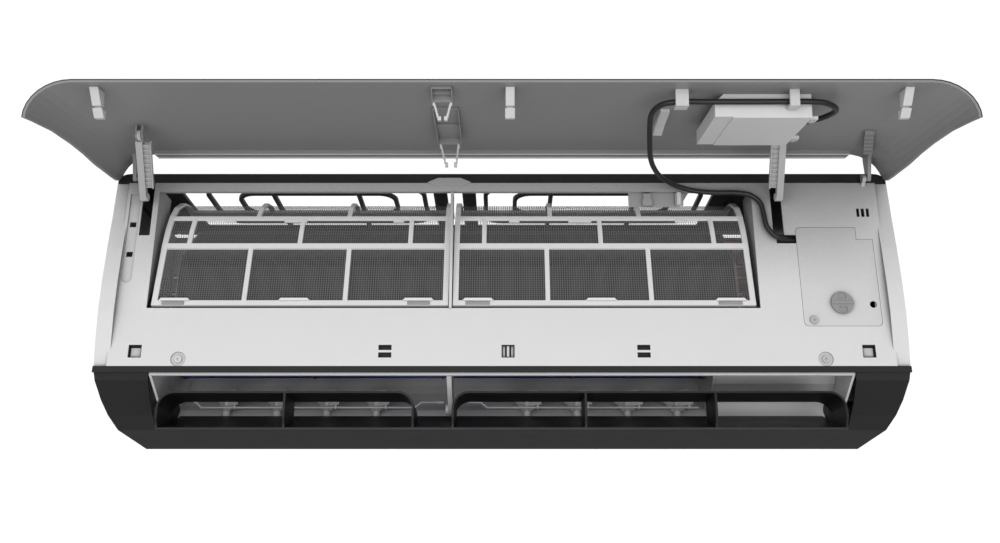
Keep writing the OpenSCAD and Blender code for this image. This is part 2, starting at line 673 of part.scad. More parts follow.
module terminal_block() seat() color("ivory") {
    x0 = board_inside(box_x, 0.25);
    pitch = (board_inside(box_x, 1) - x0) / terminal_count;
    difference() {
        block([x0, x0 + terminal_count * pitch], terminal_y, [box_z[0] + box_wall,
            box_z[0] + box_wall + terminal_h]);
        for (i = [0 : terminal_count - 1])
            rod_y(pitch / 2, [terminal_y[0] - cut, terminal_y[0] + pitch / 2],
                [x0 + (i + 0.5) * pitch, box_z[0] + box_wall + terminal_h / 2]);
    }
}

// Coil: three fin blocks with their tubes, end plates and the connecting pipes
fin_x = [-360, 260];
plate_thin = 2;
front_leg = [[-161, 118], [-157, 180]];
top_leg = [[-147, 188], [-104, 232]];
rear_leg = [[-82, 229], [-44, 184]];
tube_first = 10;
tube_pitch = 20;
stub_x = 278;
function leg_dir(l) = (l[1] - l[0]) / norm(l[1] - l[0]);
function leg_out(l) = let (d = leg_dir(l)) [-d.y, d.x];
function tube_at(l, station, side) = l[0] + leg_dir(l) * (tube_first + station * tube_pitch)
    + leg_out(l) * side * fin_t / 4;
function leg_outline(l) = let (n = leg_out(l) * fin_t / 2) [l[0] + n, l[1] + n, l[1] - n, l[0] - n];
module fin_block(l) difference() {
    along_x(fin_x) polygon(leg_outline(l));
    for (i = [0 : 2], s = [-1, 1]) rod_x(tube_d + 2 * run_fit, [fin_x[0] - cut, fin_x[1] + cut],
        tube_at(l, i, s));
}
module fin_block_front() seat() color("silver") fin_block(front_leg);
module fin_block_top() seat() color("silver") fin_block(top_leg);
module fin_block_rear() seat() color("silver") fin_block(rear_leg);
end_plate = [[-174, 95.2], [-156, 95.2], [-156, 110], [-148, 117], [-144, 177], [-136, 178], [-94, 220.5],
    [-54, 174.5], [-33, 191], [-72, 239], [-104, 244], [-114, 242], [-171, 184], [-175, 119]];
module coil_end_plates() seat() color("lightgray")
    for (x = [[fin_x[0] - plate_thin, fin_x[0]], [fin_x[1], fin_x[1] + plate_thin]]) difference() {
        along_x(x) polygon(end_plate);
        for (l = [front_leg, top_leg, rear_leg], i = [0 : 2], s = [-1, 1])
            rod_x(tube_d + 2 * run_fit, [x[0] - cut, x[1] + cut], tube_at(l, i, s));
    }
bend_reach = 5;
bend_w = tube_d - 2;
tube_left = fin_x[0] - plate_thin - bend_reach;
tube_right = fin_x[1] + plate_thin + bend_reach;
module bend(p, q, x) along_x(x) polygon(strip(shifted([p, q], -bend_w / 2), bend_w));
module leg_tubes(l) {
    for (i = [0 : 2], s = [-1, 1])
        rod_x(tube_d, [tube_left, (i == 0 && s < 0) || (i == 2 && s > 0) ? stub_x : tube_right],
            tube_at(l, i, s));
    for (i = [0 : 2]) bend(tube_at(l, i, -1), tube_at(l, i, 1), [tube_left, tube_left + bend_w]);
    bend(tube_at(l, 0, 1), tube_at(l, 1, 1), [tube_right - bend_w, tube_right]);
    bend(tube_at(l, 1, -1), tube_at(l, 2, -1), [tube_right - bend_w, tube_right]);
}
module coil_tubes() seat() color("#b87333") for (l = [front_leg, top_leg, rear_leg]) leg_tubes(l);
liquid_d = 6.4;
suction_d = 9.5;
pipe_end = 130;
suction_from = tube_at(rear_leg, 2, 1);
liquid_from = tube_at(top_leg, 2, 1);
pipe_y = -24;
suction_z = 34;
liquid_z = 50;
suction_x = 308;
liquid_x = 293;
motor_top = 150;
suction_route = [[stub_x, suction_from.x, suction_from.y], [suction_x, suction_from.x, suction_from.y],
    [suction_x, pipe_y, motor_top], [suction_x, pipe_y, suction_z], [pipe_end, pipe_y, suction_z]];
liquid_route = [[stub_x, liquid_from.x, liquid_from.y], [liquid_x, liquid_from.x, liquid_from.y],
    [liquid_x, pipe_y, liquid_from.y], [liquid_x, pipe_y, liquid_z], [pipe_end, pipe_y, liquid_z]];
module pipe(route, d) {
    for (i = [0 : len(route) - 2]) bar(route[i], route[i + 1], d);
    for (i = [1 : len(route) - 2]) translate(route[i]) sphere(d = d);
}
module suction_pipe() seat() color("#b87333") pipe(suction_route, suction_d);
module liquid_pipe() seat() color("#b87333") pipe(liquid_route, liquid_d);
nut_l = 18;
nut_grow = 5;
module flare_nuts() seat() color("goldenrod") for (p = [[suction_z, suction_d], [liquid_z,
    liquid_d]]) difference() {
    translate([pipe_end, pipe_y, p[0]]) rotate([0, 90, 0]) cylinder(d = p[1] + nut_grow, h = nut_l, $fn = 6);
    rod_x(p[1] + 2 * run_fit, [pipe_end - cut, pipe_end + nut_l + cut], [pipe_y, p[0]]);
}

// Crossflow blower, its shaft, bearing, motor and clamp
ring_t = 2;
ring_count = 5;
ring_hole = 66;
blade_in = 36;
blade_t = 1;
blade_lean = 3;
boss_d = 22;
boss_l = 20;
stub_l = 6;
function blade_outline() = let (r = blower_d / 2)
    [[blade_in, -blade_lean], [r - blade_t, blade_lean], [r - blade_t, blade_lean + blade_t],
     [blade_in, blade_t - blade_lean]];
module blower_wheel() seat() color("#1c2a6b") difference() {
    union() {
        for (i = [0 : ring_count - 1]) let (x = between(-blower_left, blower_right - ring_t,
            i / (ring_count - 1)))
            rod_x(blower_d, [x, x + ring_t], axis);
        translate([0, axis.x, axis.y]) for (i = [0 : blade_count - 1]) rotate([i * 360 / blade_count, 0, 0])
            along_x([-blower_left, blower_right]) polygon(blade_outline());
        rod_x(boss_d, [blower_right - boss_l, blower_right], axis);
        rod_x(shaft_d, [-blower_left - stub_l, -blower_left], axis);
    }
    rod_x(shaft_d, [blower_right - boss_l - cut, blower_right + cut], axis);
    for (i = [1 : ring_count - 2]) let (x = between(-blower_left, blower_right - ring_t,
        i / (ring_count - 1)))
        rod_x(ring_hole, [x - cut, x + ring_t + cut], axis);
}
shaft_end = 6;
motor_gap = 5;
motor_l = 52;
motor_x = [partition_at + wall + motor_gap, partition_at + wall + motor_gap + motor_l];
module blower_shaft() seat() color("silver")
    rod_x(shaft_d, [blower_right - boss_l, motor_x[1] + shaft_end], axis);
module fan_bearing() seat() color("#26282c") difference() {
    rod_x(bearing_d, [-half_outlet - wall, -half_outlet + wall], axis);
    rod_x(shaft_d + 2 * run_fit, [-half_outlet - wall - cut, -half_outlet + wall + cut], axis);
}
rubber_d = 30;
rubber_l = 4;
module fan_motor() seat() color("gray") difference() {
    union() {
        rod_x(motor_d, [motor_x[0] + rubber_l, motor_x[1] - rubber_l], axis);
        rod_x(rubber_d, motor_x, axis);
    }
    rod_x(shaft_d + 2 * run_fit, [motor_x[0] - cut, motor_x[1] + cut], axis);
}
clamp_t = 5;
clamp_w = 18;
clamp_h = 40;
clamp_x = (motor_x[0] + motor_x[1]) / 2;
module motor_clamp() seat() color("silver") difference() {
    union() {
        rod_x(motor_d + 2 * clamp_t, [clamp_x - clamp_w / 2, clamp_x + clamp_w / 2], axis);
        block([clamp_x - clamp_w / 2, clamp_x + clamp_w / 2], [axis.x, back_y],
            [axis.y - clamp_h / 2, axis.y + clamp_h / 2]);
    }
    rod_x(motor_d + fit, [clamp_x - clamp_w, clamp_x + clamp_w], axis);
}

// Louver: a full-width blade that carries two arched upper blades
louver_x = [-365, 364];
louver_closed = [[-188, 47.5], [-158, 31], [-134, 20], [-110, 11.5]];
louver_path = turned(louver_closed, louver_pivot, louver_angle);
arch_t = 2.2;
arch_z = 35;
arch_y = [-187, -138];
arch_r = 18;
arch_foot = -8;
left_arch = [-365, -93];
right_arch = [-53, 364];
mid_rib_x = [-230, 88.5, 226];
arm_t = 2.4;
arm_r = 5;
arm_x = [left_arch[0], right_arch[0], right_arch[1] - arm_t];
arm_outline = concat([[-146, 1], [-124, 10]], arc(louver_pivot, arm_r, -60, 90, 8),
    [[-140, arch_z - arch_t], [-146, arch_z - arch_t]]);
leg_toes = [[-188, 8], [-182.8, 0]];
louver_room = concat(louver_path, [[louver_path[3].x, arch_z + cut], [arch_y[0] - cut, arch_z + cut]],
    leg_toes);
function arch_line(x) = concat([[x[0], arch_foot]], arc([x[0] + arch_r, arch_z - arch_r], arch_r, 180,
    90, 8),
    arc([x[1] - arch_r, arch_z - arch_r], arch_r, 90, 0, 8), [[x[1], arch_foot]]);
module louver() seat() color("#16171b") {
    ribbon(louver_path, louver_t, louver_x);
    intersection() {
        union() {
            for (x = [left_arch, right_arch]) along_y(arch_y) polygon(strip(arch_line(x), -arch_t));
            for (x = mid_rib_x) block([x - arm_t / 2, x + arm_t / 2], arch_y, [arch_foot,
                arch_z - arch_t / 2]);
            for (x = arm_x) along_x([x, x + arm_t]) polygon(arm_outline);
        }
        along_x(louver_x) polygon(louver_room);
    }
    rod_x(louver_pin_d, [-half_outlet - wall / 2, left_arch[0]], louver_pivot);
    rod_x(louver_pin_d, [right_arch[1], half_outlet + wall / 2], louver_pivot);
    rod_x(support_pin_d, [support_x - support_t / 2, right_arch[0]], louver_pivot);
}
louver_motor_d = 20;
louver_motor_l = 18;
module louver_motor() seat() color("silver") {
    rod_x(louver_motor_d, [frame_end_in, frame_end_in + louver_motor_l], louver_pivot);
    rod_x(louver_pin_d, [half_outlet + wall / 2 + fit, frame_end_in], louver_pivot);
}

// Vanes on pins in the outlet floor, linked in two banks by rods under their studs
vane_top = 54;
vane_knuckle = 7;
stud_d = 2;
stud_reach = 17;
stud_z = [31, 37];
vane_shape = [[-22, 36], [-22, 50], [-17, 54.5], [15, 54.5], [20, 51], [20, 45], [12, 38], [6, 31],
    [-9, 31], [-10, 36]];
eye_d = 5.5;
link_z = 33;
link_raise = 6;
function stud_x(x) = x + stud_reach * sin(vane_angle);
stud_y = vane_pin_y - stud_reach * cos(vane_angle);
module vane(x) seat() color("#8a8c8e") translate([x, vane_pin_y, 0]) rotate([0, 0, vane_angle]) {
    along_x([-vane_t / 2, vane_t / 2]) polygon(vane_shape);
    rod_z(vane_knuckle, [vane_low, vane_top - vane_knuckle / 2], [0, 0]);
    rod_z(vane_pin_d, [floor_z(vane_pin_y) + fit, vane_low], [0, 0]);
    rod_z(stud_d, stud_z, [0, -stud_reach]);
}
grip_d = 4;
grip_l = 8;
module link_rod(places, path) seat() color("silver") difference() {
    union() {
        for (i = [0 : len(path) - 2]) bar([path[i].x, stud_y, link_z + path[i].y],
            [path[i + 1].x, stud_y, link_z + path[i + 1].y], link_d);
        for (i = [1 : len(path) - 2]) translate([path[i].x, stud_y, link_z + path[i].y]) sphere(d = link_d);
        for (x = places) rod_z(eye_d, [link_z - link_d / 2, link_z + link_d / 2], [stud_x(x), stud_y]);
    }
    for (x = places) rod_z(stud_d + 2 * run_fit, [link_z - link_d, link_z + link_d], [stud_x(x), stud_y]);
}
left_run = [[-350, link_raise], [-348, link_raise], [-342, 0], [-99, 0], [-92, link_raise], [-66,
    link_raise]];
right_run = [[-39, link_raise], [-24, link_raise], [-17, 0], [223, 0]];
module vane_rod_left() {
    link_rod(left_vanes, left_run);
    seat() color("silver") rod_x(grip_d, [left_run[5].x - grip_l, left_run[5].x], [stud_y,
        link_z + link_raise]);
}
module vane_rod_right() link_rod(right_vanes, right_run);

// Sensor bracket behind the cross bar, with its clip-on sensor
bracket_x = [142, 223];
bracket_y = front_y + 5;
bracket_t = 2;
bracket_low = 245;
bracket_tab = [157, 169];
bracket_clip = [251, 260];
sensor_x = 199;
sensor_d = 6;
module sensor_bracket() seat() color("darkgray") {
    block(bracket_x, [bracket_y, bracket_y + bracket_t], [bracket_low, frame_top]);
    block(bracket_tab, [front_y + fit, bracket_y], [bracket_low, bar_low - 1]);
    block([sensor_x - sensor_d, sensor_x - sensor_d + bracket_t], [front_y + fit, bracket_y], bracket_clip);
}
module room_sensor() seat() color("white") rod_z(sensor_d, [bracket_low + 1, bar_low - 1],
    [sensor_x, bracket_y - sensor_d / 2]);

// Front panel, modelled closed and then raised about its hinge
panel_low = 50;
panel_high = unit_h - 5;
panel_in = front_y - panel_gap;
wrap_x = half_w - panel_t - skin_t;
wrap_edge = front_y;
wrap_w = 40;
wrap_steps = 8;
wrap_half = [for (i = [0 : wrap_steps]) let (a = i * 90 / wrap_steps)
    [wrap_x - wrap_w * (1 - cos(a)), wrap_edge - panel_gap * sin(a)]];
panel_line = concat(mirrored(reversed(wrap_half)), reversed(wrap_half));
corner_r = 14;
wing_shares = [[0.03, 0], [0.09, 0.08], [0.185, 0.25], [0.185, 0.43], [0.145, 0.56], [0.06, 0.7],
    [0.035, 0.81]];
panel_side = concat([[panel_in - panel_gap, panel_low]],
    [for (s = wing_shares) [wrap_edge - s.x * panel_gap, between(panel_low, panel_high, s.y)]],
    arc([wrap_edge - corner_r, panel_high - corner_r], corner_r, 0, 90, 8), [[panel_in - panel_gap,
        panel_high]]);
pad_z = 17;
pad_t = 4;
pad_x = half_w - 43;
arm_block = [411, 415];
hinge_arm_r = 3.2;
hinge_arm_in = panel_in + 4.6;
stay_pin_d = 4;
stay_pin = [front_y - 24, 180];
stay_tops = [-375, 290];
ear_t = 2;
ear_gap = 4.4;
tab_post_x = 296;
tab_post_z = [101, 163];
tab_post_d = 7;
tab_post_h = 17;
module raised() seat() turn_about(hinge, -panel_angle) children();
module within_panel() intersection() {
    children();
    along_x([-unit_w, unit_w]) polygon(panel_side);
}
module front_panel() raised() color("gray") difference() {
    union() {
        within_panel() along_z([panel_low, panel_high]) polygon(strip(panel_line, -panel_t));
        block([-pad_x, pad_x], [panel_in, panel_in + pad_t], [panel_high - pad_z, panel_high]);
        for (side = [-1, 1]) scale([side, 1, 1]) {
            along_x(arm_block) polygon(concat(arc(hinge, hinge_arm_r, -90, 90, 12),
                [[hinge_arm_in + pad_t, panel_high], [hinge_arm_in, panel_high],
                 [hinge_arm_in, panel_high - pad_z - pad_t], [hinge_arm_in + pad_t, panel_high - pad_z]]));
            rod_x(hinge_d, [lug_x[0], arm_block[0]], hinge);
        }
        for (x = stay_tops) {
            for (e = [-ear_gap / 2 - ear_t, ear_gap / 2]) {
                block([x + e, x + e + ear_t], [panel_in, stay_pin.x],
                    [stay_pin.y - stay_pin_d, stay_pin.y + stay_pin_d]);
                rod_x(2 * stay_pin_d, [x + e, x + e + ear_t], stay_pin);
            }
            rod_x(stay_pin_d, [x - ear_gap / 2 - ear_t, x + ear_gap / 2 + ear_t], stay_pin);
        }
        for (z = tab_post_z) rod_y(tab_post_d, [panel_in, panel_in + tab_post_h], [tab_post_x, z]);
    }
    for (z = tab_post_z) rod_y(module_screw_d + 2 * run_fit,
        [panel_in + fit, panel_in + tab_post_h + cut], [tab_post_x, z]);
}
module panel_skin() raised() color("#141416") within_panel()
    along_z([panel_low, panel_high]) polygon(strip(shifted(panel_line, -panel_t), -skin_t));

// Latches, pronged clips and cable clips on the panel's inner face
latch_x = [-376, 7.5, 376];
latch_w = 7;
latch_h = 25;
latch_z = [58, 92];
latch_post = [73, 81];
latch_base = 3;
module panel_latches() raised() color("lightgray") for (x = latch_x) {
    block([x - latch_w / 2, x + latch_w / 2], [panel_in + fit, panel_in + latch_base], latch_z);
    block([x - latch_w / 2, x + latch_w / 2], [panel_in + fit, panel_in + latch_h], latch_post);
    block([x - latch_w / 2, x + latch_w / 2], [panel_in + latch_h - latch_base, panel_in + latch_h],
        [latch_post[0] - latch_base, latch_post[1]]);
}
clip_places = [[-56, 82], [-56, 244]];
clip_base = [20, 14];
clip_post = 8;
clip_h = 25;
clip_z = 6;
module panel_clips() raised() color("lightgray") for (p = clip_places) {
    block([p.x - clip_base.x / 2, p.x + clip_base.x / 2], [panel_in, panel_in + latch_base],
        [p.y - clip_base.y, p.y + clip_base.y / 2]);
    block([p.x - clip_post / 2, p.x + clip_post / 2], [panel_in, panel_in + clip_h / 2], [p.y,
        p.y + clip_z]);
    block([p.x - clip_base.x / 2, p.x + clip_base.x / 2], [panel_in + clip_h / 2,
        panel_in + clip_h / 2 + latch_base],
        [p.y, p.y + clip_z]);
    for (x = [-clip_base.x / 2, clip_base.x / 2 - latch_base])
        block([p.x + x, p.x + x + latch_base], [panel_in + clip_h / 2, panel_in + clip_h], [p.y,
            p.y + clip_z]);
}
cable_clip_x = [[161, 173], [267, 276]];
cable_clip_z = [68, 80.5];
cable_clip_h = 16;
guide_x = [156, 165];
guide_z = [125, 178];
guide_shares = [[0, 0.05], [0.35, 0.25], [0.7, 0.55], [1, 1]];
module cable_clips() raised() color("lightgray") {
    for (x = cable_clip_x) {
        block(x, [panel_in, panel_in + cable_clip_h], [cable_clip_z[0], cable_clip_z[0] + latch_base]);
        block(x, [panel_in + cable_clip_h - latch_base, panel_in + cable_clip_h], cable_clip_z);
    }
    along_x(guide_x) polygon(concat([[panel_in, guide_z[0]]],
        [for (s = guide_shares) [panel_in + latch_base + s.y * cable_clip_h / 2, between(guide_z[0],
            guide_z[1], s.x)]],
        [[panel_in, guide_z[1]]]));
}

// Module box on the panel, open towards the panel, with its board and screws
module_x = [200, 291];
module_z = [82, 172];
module_h = 23;
module_cap = 17;
module_wall = 1.6;
module_tab = 10;
module_tab_t = 3;
module_screw_d = 3;
module_screw_head = 6;
module_screw_l = 12;
module_head_h = 1.6;
module module_box() raised() color("#b8b9bb") difference() {
    union() {
        along_x([module_x[0] + module_cap, module_x[1]]) translate([panel_in, module_z[0]])
            square([module_h, module_z[1] - module_z[0]]);
        along_z(module_z) polygon([[module_x[0], panel_in + module_h / 3], [module_x[0],
            panel_in + module_h - 1],
            [module_x[0] + module_cap, panel_in + module_h - 1], [module_x[0] + module_cap, panel_in],
            [module_x[0] + module_cap / 2, panel_in]]);
        for (z = tab_post_z) block([module_x[1], module_x[1] + module_tab],
            [panel_in + tab_post_h, panel_in + tab_post_h + module_tab_t], [z - module_tab / 2,
                z + module_tab / 2]);
    }
    block([module_x[0] + module_cap + module_wall, module_x[1] - module_wall],
        [panel_in - cut, panel_in + module_h - module_wall], [module_z[0] + module_wall,
            module_z[1] - module_wall]);
    for (z = tab_post_z) rod_y(module_screw_d + 2 * run_fit,
        [panel_in + tab_post_h - cut, panel_in + module_h], [tab_post_x, z]);
}
module_board_h = 6;
module module_board() raised() color("darkgreen") {
    block([module_x[0] + module_cap + module_wall, module_x[1] - module_wall],
        [panel_in + module_board_h, panel_in + module_board_h + board_t],
        [module_z[0] + module_wall, module_z[1] - module_wall]);
    for (s = [0.3, 0.7]) let (x = between(module_x[0] + module_cap, module_x[1], s))
        block([x - post_d, x + post_d], [panel_in + module_board_h, panel_in + 2 * module_board_h],
            [module_z[0] + 4 * post_d, module_z[1] - 4 * post_d]);
}
module module_screws() raised() color("silver") for (z = tab_post_z) {
    rod_y(module_screw_d, [panel_in + tab_post_h + module_tab_t - module_screw_l,
        panel_in + tab_post_h + module_tab_t],
        [tab_post_x, z]);
    rod_y(module_screw_head, [panel_in + tab_post_h + module_tab_t,
        panel_in + tab_post_h + module_tab_t + module_head_h],
        [tab_post_x, z]);
}

// Stays: ladder arms from the panel to the slots in the front frame
stay_low = [front_y - 11, 250];
stay_eye = 11;
stay_rail = 2.6;
stay_gauge = 3.2;
stay_rungs = 7;
stay_foot_d = 9.2;
stay_rung = 1.8;
stay_foot_w = 8;
stay_top_at = turned([stay_pin], hinge, -panel_angle)[0];
stay_out = let (along = stay_low - stay_top_at) [-along.y, along.x] / norm(along) * stay_gauge;
function rail_at(x, s, side) = let (p = between(stay_top_at, stay_low, s) + side * stay_out)
    [between(x[0], x[1], s), p.x, p.y];
module stay(top_x, low_x) seat() color("#9a9c9e") {
    x = [top_x, low_x];
    difference() {
        rod_x(stay_eye, [top_x - ear_gap / 2 + fit, top_x + ear_gap / 2 - fit], stay_top_at);
        rod_x(stay_pin_d + 2 * run_fit, [top_x - ear_gap, top_x + ear_gap], stay_top_at);
    }
    for (side = [-1, 1]) bar(rail_at(x, 0.04, side), rail_at(x, 1, side), stay_rail);
    for (i = [1 : stay_rungs]) bar(rail_at(x, i / (stay_rungs + 0.5), -1), rail_at(x,
        i / (stay_rungs + 0.5), 1),
        stay_rung);
    rod_x(stay_foot_d, [low_x - stay_foot_w / 2, low_x + stay_foot_w / 2], stay_low);
}
module stay_left() stay(stay_tops[0], stay_left_x);
module stay_right() stay(stay_tops[1], stay_right_x);

// Cable from the module box through the clips to the electronics, with the panel raised.
// The points are chosen by hand; a smooth curve runs through them.
cable_d = 5.5;
cable_sides = 10;
cable_steps = 3;
loop_points = [[291, -344, 271], [303, -346, 271], [315, -358, 270], [319, -374, 268], [309, -389, 266],
    [292, -395, 266], [240, -395, 266], [190, -395, 266], [167, -395, 266], [150, -389, 266], [143,
        -372, 265]];
free_points = [[143.1, -370.8, 264.9], [145, -345, 263], [149, -315, 261], [154, -285, 260], [162,
    -255, 262],
    [174, -225, 265], [192, -205, 264], [214, -198, 260], [238, -197, 258]];
fixed_points = [[238, -197, 258], [262, -197, 258], [278, -197, 255], [288, -197, 246], [291, -197, 232],
    [293, -197, 218], [300, -197, 208], [308, -195, 204.5], [318, -190, 204], [326, -186.5, 204],
    [334, -184, 204]];
function curve_point(p, i, t) = let (a = p[max(i - 1, 0)], b = p[i], c = p[i + 1], d = p[min(i + 2,
    len(p) - 1)])
    b + (c - a) / 2 * t + (a - 2.5 * b + 2 * c - d / 2) * t * t + (1.5 * b - a / 2 - 1.5 * c + d / 2) *
        t * t * t;
function smooth(p) = concat([for (i = [0 : len(p) - 2], k = [0 : cable_steps - 1])
    curve_point(p, i, k / cable_steps)], [p[len(p) - 1]]);
function ring(p, i) = let (q = p[min(i + 1, len(p) - 1)] - p[max(i - 1, 0)], u = q / norm(q),
    w = cross(u, [0.1, 0.3, 1]), a = w / norm(w), b = cross(u, a))
    [for (k = [0 : cable_sides - 1]) p[i] + cable_d / 2
        * (a * cos(k * 360 / cable_sides) + b * sin(k * 360 / cable_sides))];
module cable(points) {
    p = smooth(points);
    n = cable_sides;
    last = len(p) - 1;
    polyhedron([for (i = [0 : last]) each ring(p, i)], concat(
        [for (i = [0 : last - 1], k = [0 : n - 1])
            each [[i * n + k, (i + 1) * n + (k + 1) % n, i * n + (k + 1) % n],
                  [i * n + k, (i + 1) * n + k, (i + 1) * n + (k + 1) % n]]],
        [[for (k = [0 : n - 1]) k]], [[for (k = [n - 1 : -1 : 0]) last * n + k]]));
}
module panel_cable_loop() seat() color("#202224") cable(loop_points);
module panel_cable_free() seat() color("#202224") cable(free_points);
module panel_cable_fixed() seat() color("#202224") cable(fixed_points);

module vane_left_1() vane(left_vanes[0]);
module vane_left_2() vane(left_vanes[1]);
module vane_left_3() vane(left_vanes[2]);
module vane_left_4() vane(left_vanes[3]);
module vane_right_1() vane(right_vanes[0]);
module vane_right_2() vane(right_vanes[1]);
module vane_right_3() vane(right_vanes[2]);
module vane_right_4() vane(right_vanes[3]);

wall_plate();
rear_chassis();
front_frame();
outlet_frame();
top_casing();
outlet_duct();
drain_pan();
centre_support();
electronics_cover();
cover_lock_knob();
case_screws();
fin_block_front();
fin_block_top();
fin_block_rear();
coil_end_plates();
coil_tubes();
liquid_pipe();
suction_pipe();
flare_nuts();
blower_wheel();
blower_shaft();
fan_bearing();
fan_motor();
motor_clamp();
louver();
louver_motor();
vane_left_1();
vane_left_2();
vane_left_3();
vane_left_4();
vane_right_1();
vane_right_2();
vane_right_3();
vane_right_4();
vane_rod_left();
vane_rod_right();
filter_left_frame();
filter_left_net();
filter_right_frame();
filter_right_net();
control_box();
control_board();
terminal_block();
sensor_bracket();
room_sensor();
front_panel();
panel_skin();
panel_latches();
panel_clips();
cable_clips();
stay_left();
stay_right();
module_box();
module_board();
module_screws();
panel_cable_loop();
panel_cable_free();
panel_cable_fixed();
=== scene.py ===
# Looks of a wall-mounted indoor unit with its front panel raised.
# Lengths of pieces are millimetres: X from the middle, Y from the wall, Z from the casing's bottom plane.
import json
import math
import bpy
import bmesh
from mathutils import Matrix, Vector


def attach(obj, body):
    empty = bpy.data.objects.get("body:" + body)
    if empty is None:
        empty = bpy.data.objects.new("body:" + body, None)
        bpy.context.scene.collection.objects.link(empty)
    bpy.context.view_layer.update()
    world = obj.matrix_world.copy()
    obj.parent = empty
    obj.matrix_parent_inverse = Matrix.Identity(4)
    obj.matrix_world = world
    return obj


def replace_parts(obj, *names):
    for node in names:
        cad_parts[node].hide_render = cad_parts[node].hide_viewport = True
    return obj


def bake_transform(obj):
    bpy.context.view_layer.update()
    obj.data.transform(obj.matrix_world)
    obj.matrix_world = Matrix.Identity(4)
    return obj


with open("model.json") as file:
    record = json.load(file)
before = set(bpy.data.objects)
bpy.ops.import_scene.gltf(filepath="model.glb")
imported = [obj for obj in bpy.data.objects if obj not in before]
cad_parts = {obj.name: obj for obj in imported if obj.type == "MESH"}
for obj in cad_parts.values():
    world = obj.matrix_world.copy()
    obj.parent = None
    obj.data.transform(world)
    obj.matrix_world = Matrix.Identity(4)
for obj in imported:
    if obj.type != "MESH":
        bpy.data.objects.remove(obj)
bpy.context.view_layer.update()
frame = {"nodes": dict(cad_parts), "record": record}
nodes = frame["nodes"]

MM_PER_M = 1000
# Height of the frame's origin over the casing's bottom plane
ORIGIN_Z = 145


def point(x, y, z):
    return Vector((x / MM_PER_M, y / MM_PER_M, (z - ORIGIN_Z) / MM_PER_M))


# Camera at the photo's place, a little low and looking up; metres, degrees and millimetres of film
CAMERA_AT = (0, -1.231, -0.326)
CAMERA_PITCH = 108.5
CAMERA_SENSOR = 36
CAMERA_LENS = 36
CAMERA_SHIFT = -0.002

cam = bpy.data.cameras.new("camera")
cam.sensor_width = CAMERA_SENSOR
cam.lens = CAMERA_LENS
cam.shift_x = CAMERA_SHIFT
cam_obj = bpy.data.objects.new("camera", cam)
bpy.context.scene.collection.objects.link(cam_obj)
cam_obj.location = CAMERA_AT
cam_obj.rotation_euler = (math.radians(CAMERA_PITCH), 0, 0)
bpy.context.scene.camera = cam_obj

# Settings that all materials share
COAT_ROUGH = 0.12
MOTTLE_DETAIL = 6
GRAIN_DETAIL = 3
GRAIN_HEIGHT = 0.0004
PAINTED_SHADE_SAMPLES = 4
# Roughness wanders by these amounts below and above its value, and isn't less than the third
ROUGH_BELOW, ROUGH_ABOVE, ROUGH_LEAST = 0.05, 0.06, 0.03


def noise(tree, coord, scale, detail):
    node = tree.nodes.new("ShaderNodeTexNoise")
    node.inputs["Scale"].default_value = scale
    node.inputs["Detail"].default_value = detail
    tree.links.new(coord, node.inputs["Vector"])
    return node.outputs["Fac"]


def mapped(tree, value, low, high, start=0.0):
    node = tree.nodes.new("ShaderNodeMapRange")
    node.inputs["From Min"].default_value = start
    node.inputs["To Min"].default_value = low
    node.inputs["To Max"].default_value = high
    tree.links.new(value, node.inputs["Value"])
    return node.outputs["Result"]


def scaled(tree, color, factor):
    node = tree.nodes.new("ShaderNodeVectorMath")
    node.operation = "SCALE"
    if isinstance(color, tuple):
        node.inputs[0].default_value = color
    else:
        tree.links.new(color, node.inputs[0])
    tree.links.new(factor, node.inputs["Scale"])
    return node.outputs["Vector"]


def worked(tree, operation, value, number=None):
    node = tree.nodes.new("ShaderNodeMath")
    node.operation = operation
    tree.links.new(value, node.inputs[0])
    if number is not None:
        node.inputs[1].default_value = number
    return node.outputs[0]


# A mottled colour, with painted shade (ambient occlusion) in creases and under nearby parts, with stripes
# (axis, pitch in metres, depth) or a fine grain if asked
def material(name, color, rough=0.45, metal=0.0, grain=0.0, grain_scale=900.0, mottle=0.05,
             mottle_scale=35.0, coat=0.0, stripes=None, painted_shade=0.35, painted_shade_reach=0.012, painted_shade_power=1.0):
    m = bpy.data.materials.new(name)
    m.use_nodes = True
    tree = m.node_tree
    link = tree.links.new
    shader = tree.nodes["Principled BSDF"]
    shader.inputs["Metallic"].default_value = metal
    shader.inputs["Coat Weight"].default_value = coat
    shader.inputs["Coat Roughness"].default_value = COAT_ROUGH
    coord = tree.nodes.new("ShaderNodeTexCoord").outputs["Object"]
    patches = noise(tree, coord, mottle_scale, MOTTLE_DETAIL)
    out = scaled(tree, color, mapped(tree, patches, 1 - mottle, 1 + mottle))
    # Painted shade: the colour darkens where ambient occlusion finds surfaces within the reach
    if painted_shade > 0:
        ao = tree.nodes.new("ShaderNodeAmbientOcclusion")
        ao.samples = PAINTED_SHADE_SAMPLES
        ao.inputs["Distance"].default_value = painted_shade_reach
        openness = worked(tree, "POWER", ao.outputs["AO"], painted_shade_power)
        out = scaled(tree, out, mapped(tree, openness, 1 - painted_shade, 1))
    if stripes:
        axis, pitch, depth = stripes
        split = tree.nodes.new("ShaderNodeSeparateXYZ")
        link(coord, split.inputs["Vector"])
        turns = worked(tree, "MULTIPLY", split.outputs[axis], 2 * math.pi / pitch)
        out = scaled(tree, out, mapped(tree, worked(tree, "SINE", turns), 1 - depth, 1, start=-1))
    link(out, shader.inputs["Base Color"])
    low, high = max(ROUGH_LEAST, rough - ROUGH_BELOW), min(1, rough + ROUGH_ABOVE)
    link(mapped(tree, patches, low, high), shader.inputs["Roughness"])
    if grain > 0:
        bump = tree.nodes.new("ShaderNodeBump")
        bump.inputs["Strength"].default_value = grain
        bump.inputs["Distance"].default_value = GRAIN_HEIGHT
        link(noise(tree, coord, grain_scale, GRAIN_DETAIL), bump.inputs["Height"])
        link(bump.outputs["Normal"], shader.inputs["Normal"])
    return m


